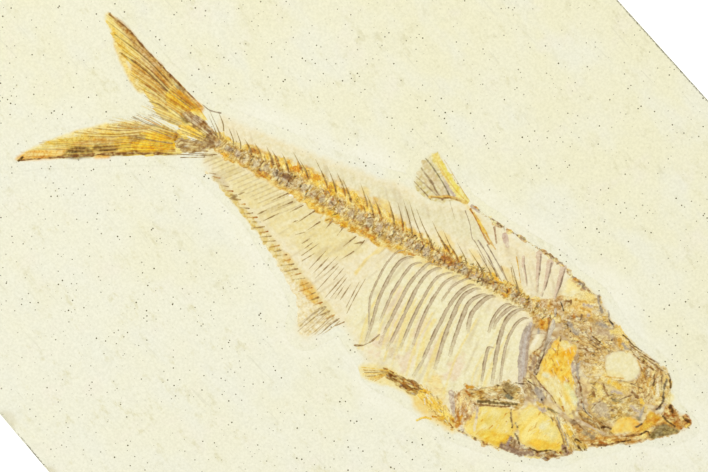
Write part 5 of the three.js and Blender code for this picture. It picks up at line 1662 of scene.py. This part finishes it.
def halo(x, y):
    """The paler stone that the preparer's tools have freshened round the fish."""
    depth = depth_inside(closed(BODY_OUTLINE), x, y)
    wander = 1.6 * smooth_noise(x, y, 6, 71)
    cover = 0.55 * ease(-depth + wander, -2.0, 0.5) * (1 - ease(-depth + wander, 1.5, 5.5))
    return np.tile(linear("chalk"), (len(x), 1)), cover


# ---------------------------------------------------------------- assembly

# Outlines of the two breast plates
PLATE_FRONT = [
    (37.2, -10.6), (38.4, -9.4), (41.8, -9.2), (43.4, -10), (44.8, -11), (45.6, -12.2), (45.4, -13.2),
    (44.2, -14.3), (42.6, -15), (40.5, -15.1), (39.2, -14.8), (37.8, -12.8),
]
PLATE_REAR = [
    (31.3, -13.5), (33, -12.6), (34.9, -11.8), (35.8, -12.2), (37.6, -14.5), (38, -15.3), (37, -17.6),
    (34.5, -17.9), (31.5, -18.2), (30.6, -17.5), (31.6, -15.8),
]
# The bones that the colours of the head run across: node, function, material and what else it takes
HEAD_BONES = [
    ("skull", draw_skull, "brown_bone"),
    ("cheek_bones", draw_cheek, "brown_bone"),
    ("front_gill_bone", draw_front_gill_bone, "grey_bone"),
    ("gill_cover", draw_gill_cover, "amber_bone"),
    ("lower_jaw", draw_lower_jaw, "brown_bone"),
    ("upper_jaw", draw_upper_jaw, "brown_bone"),
    ("shoulder_bone", draw_shoulder_bone, "grey_bone"),
    ("shoulder_brace", draw_shoulder_brace, "grey_bone"),
    ("breast_plate_front", draw_breast_plate, "amber_bone", PLATE_FRONT, 78),
    ("breast_plate_rear", draw_breast_plate, "amber_bone", PLATE_REAR, 79),
    ("belly_scutes", draw_scutes, "brown_bone", BELLY_EDGE, 48, 0.6, BELLY_COLOURS, 96),
    ("breast_fin", draw_breast_fin, "brown_bone"),
]

make_camera()
make_light()
make_floor()
make_slab()
film()
bone("backbone", draw_backbone, "brown_bone")
for k, (line, width) in enumerate(RIBS):
    bone(f"rib_{k + 1:02d}", draw_rib, "grey_bone", line, width)
for k, (line, width) in enumerate(NAPE_BONES):
    bone(f"nape_bone_{k + 1}", draw_nape_bone, "grey_bone", line, width)
for node, draw, material, *extra in HEAD_BONES:
    bone(node, draw, material, *extra, finish=mark_head)
bone("back_scutes", draw_scutes, "brown_bone", BACK_EDGE, 60, 0.62, BACK_COLOURS, 95)
bone("tail_lobe_upper", draw_tail_upper, "amber_bone")
bone("tail_lobe_lower", draw_tail_lower, "amber_bone")
bone("dorsal_fin", draw_dorsal, "amber_bone")
bone("anal_fin", draw_anal, "grey_bone")
bone("pelvic_fin", draw_pelvic, "brown_bone")
splinters = Relief(GROUND)
draw_splinters(splinters)
mesh_relief("bone_splinters", splinters, "brown_bone")
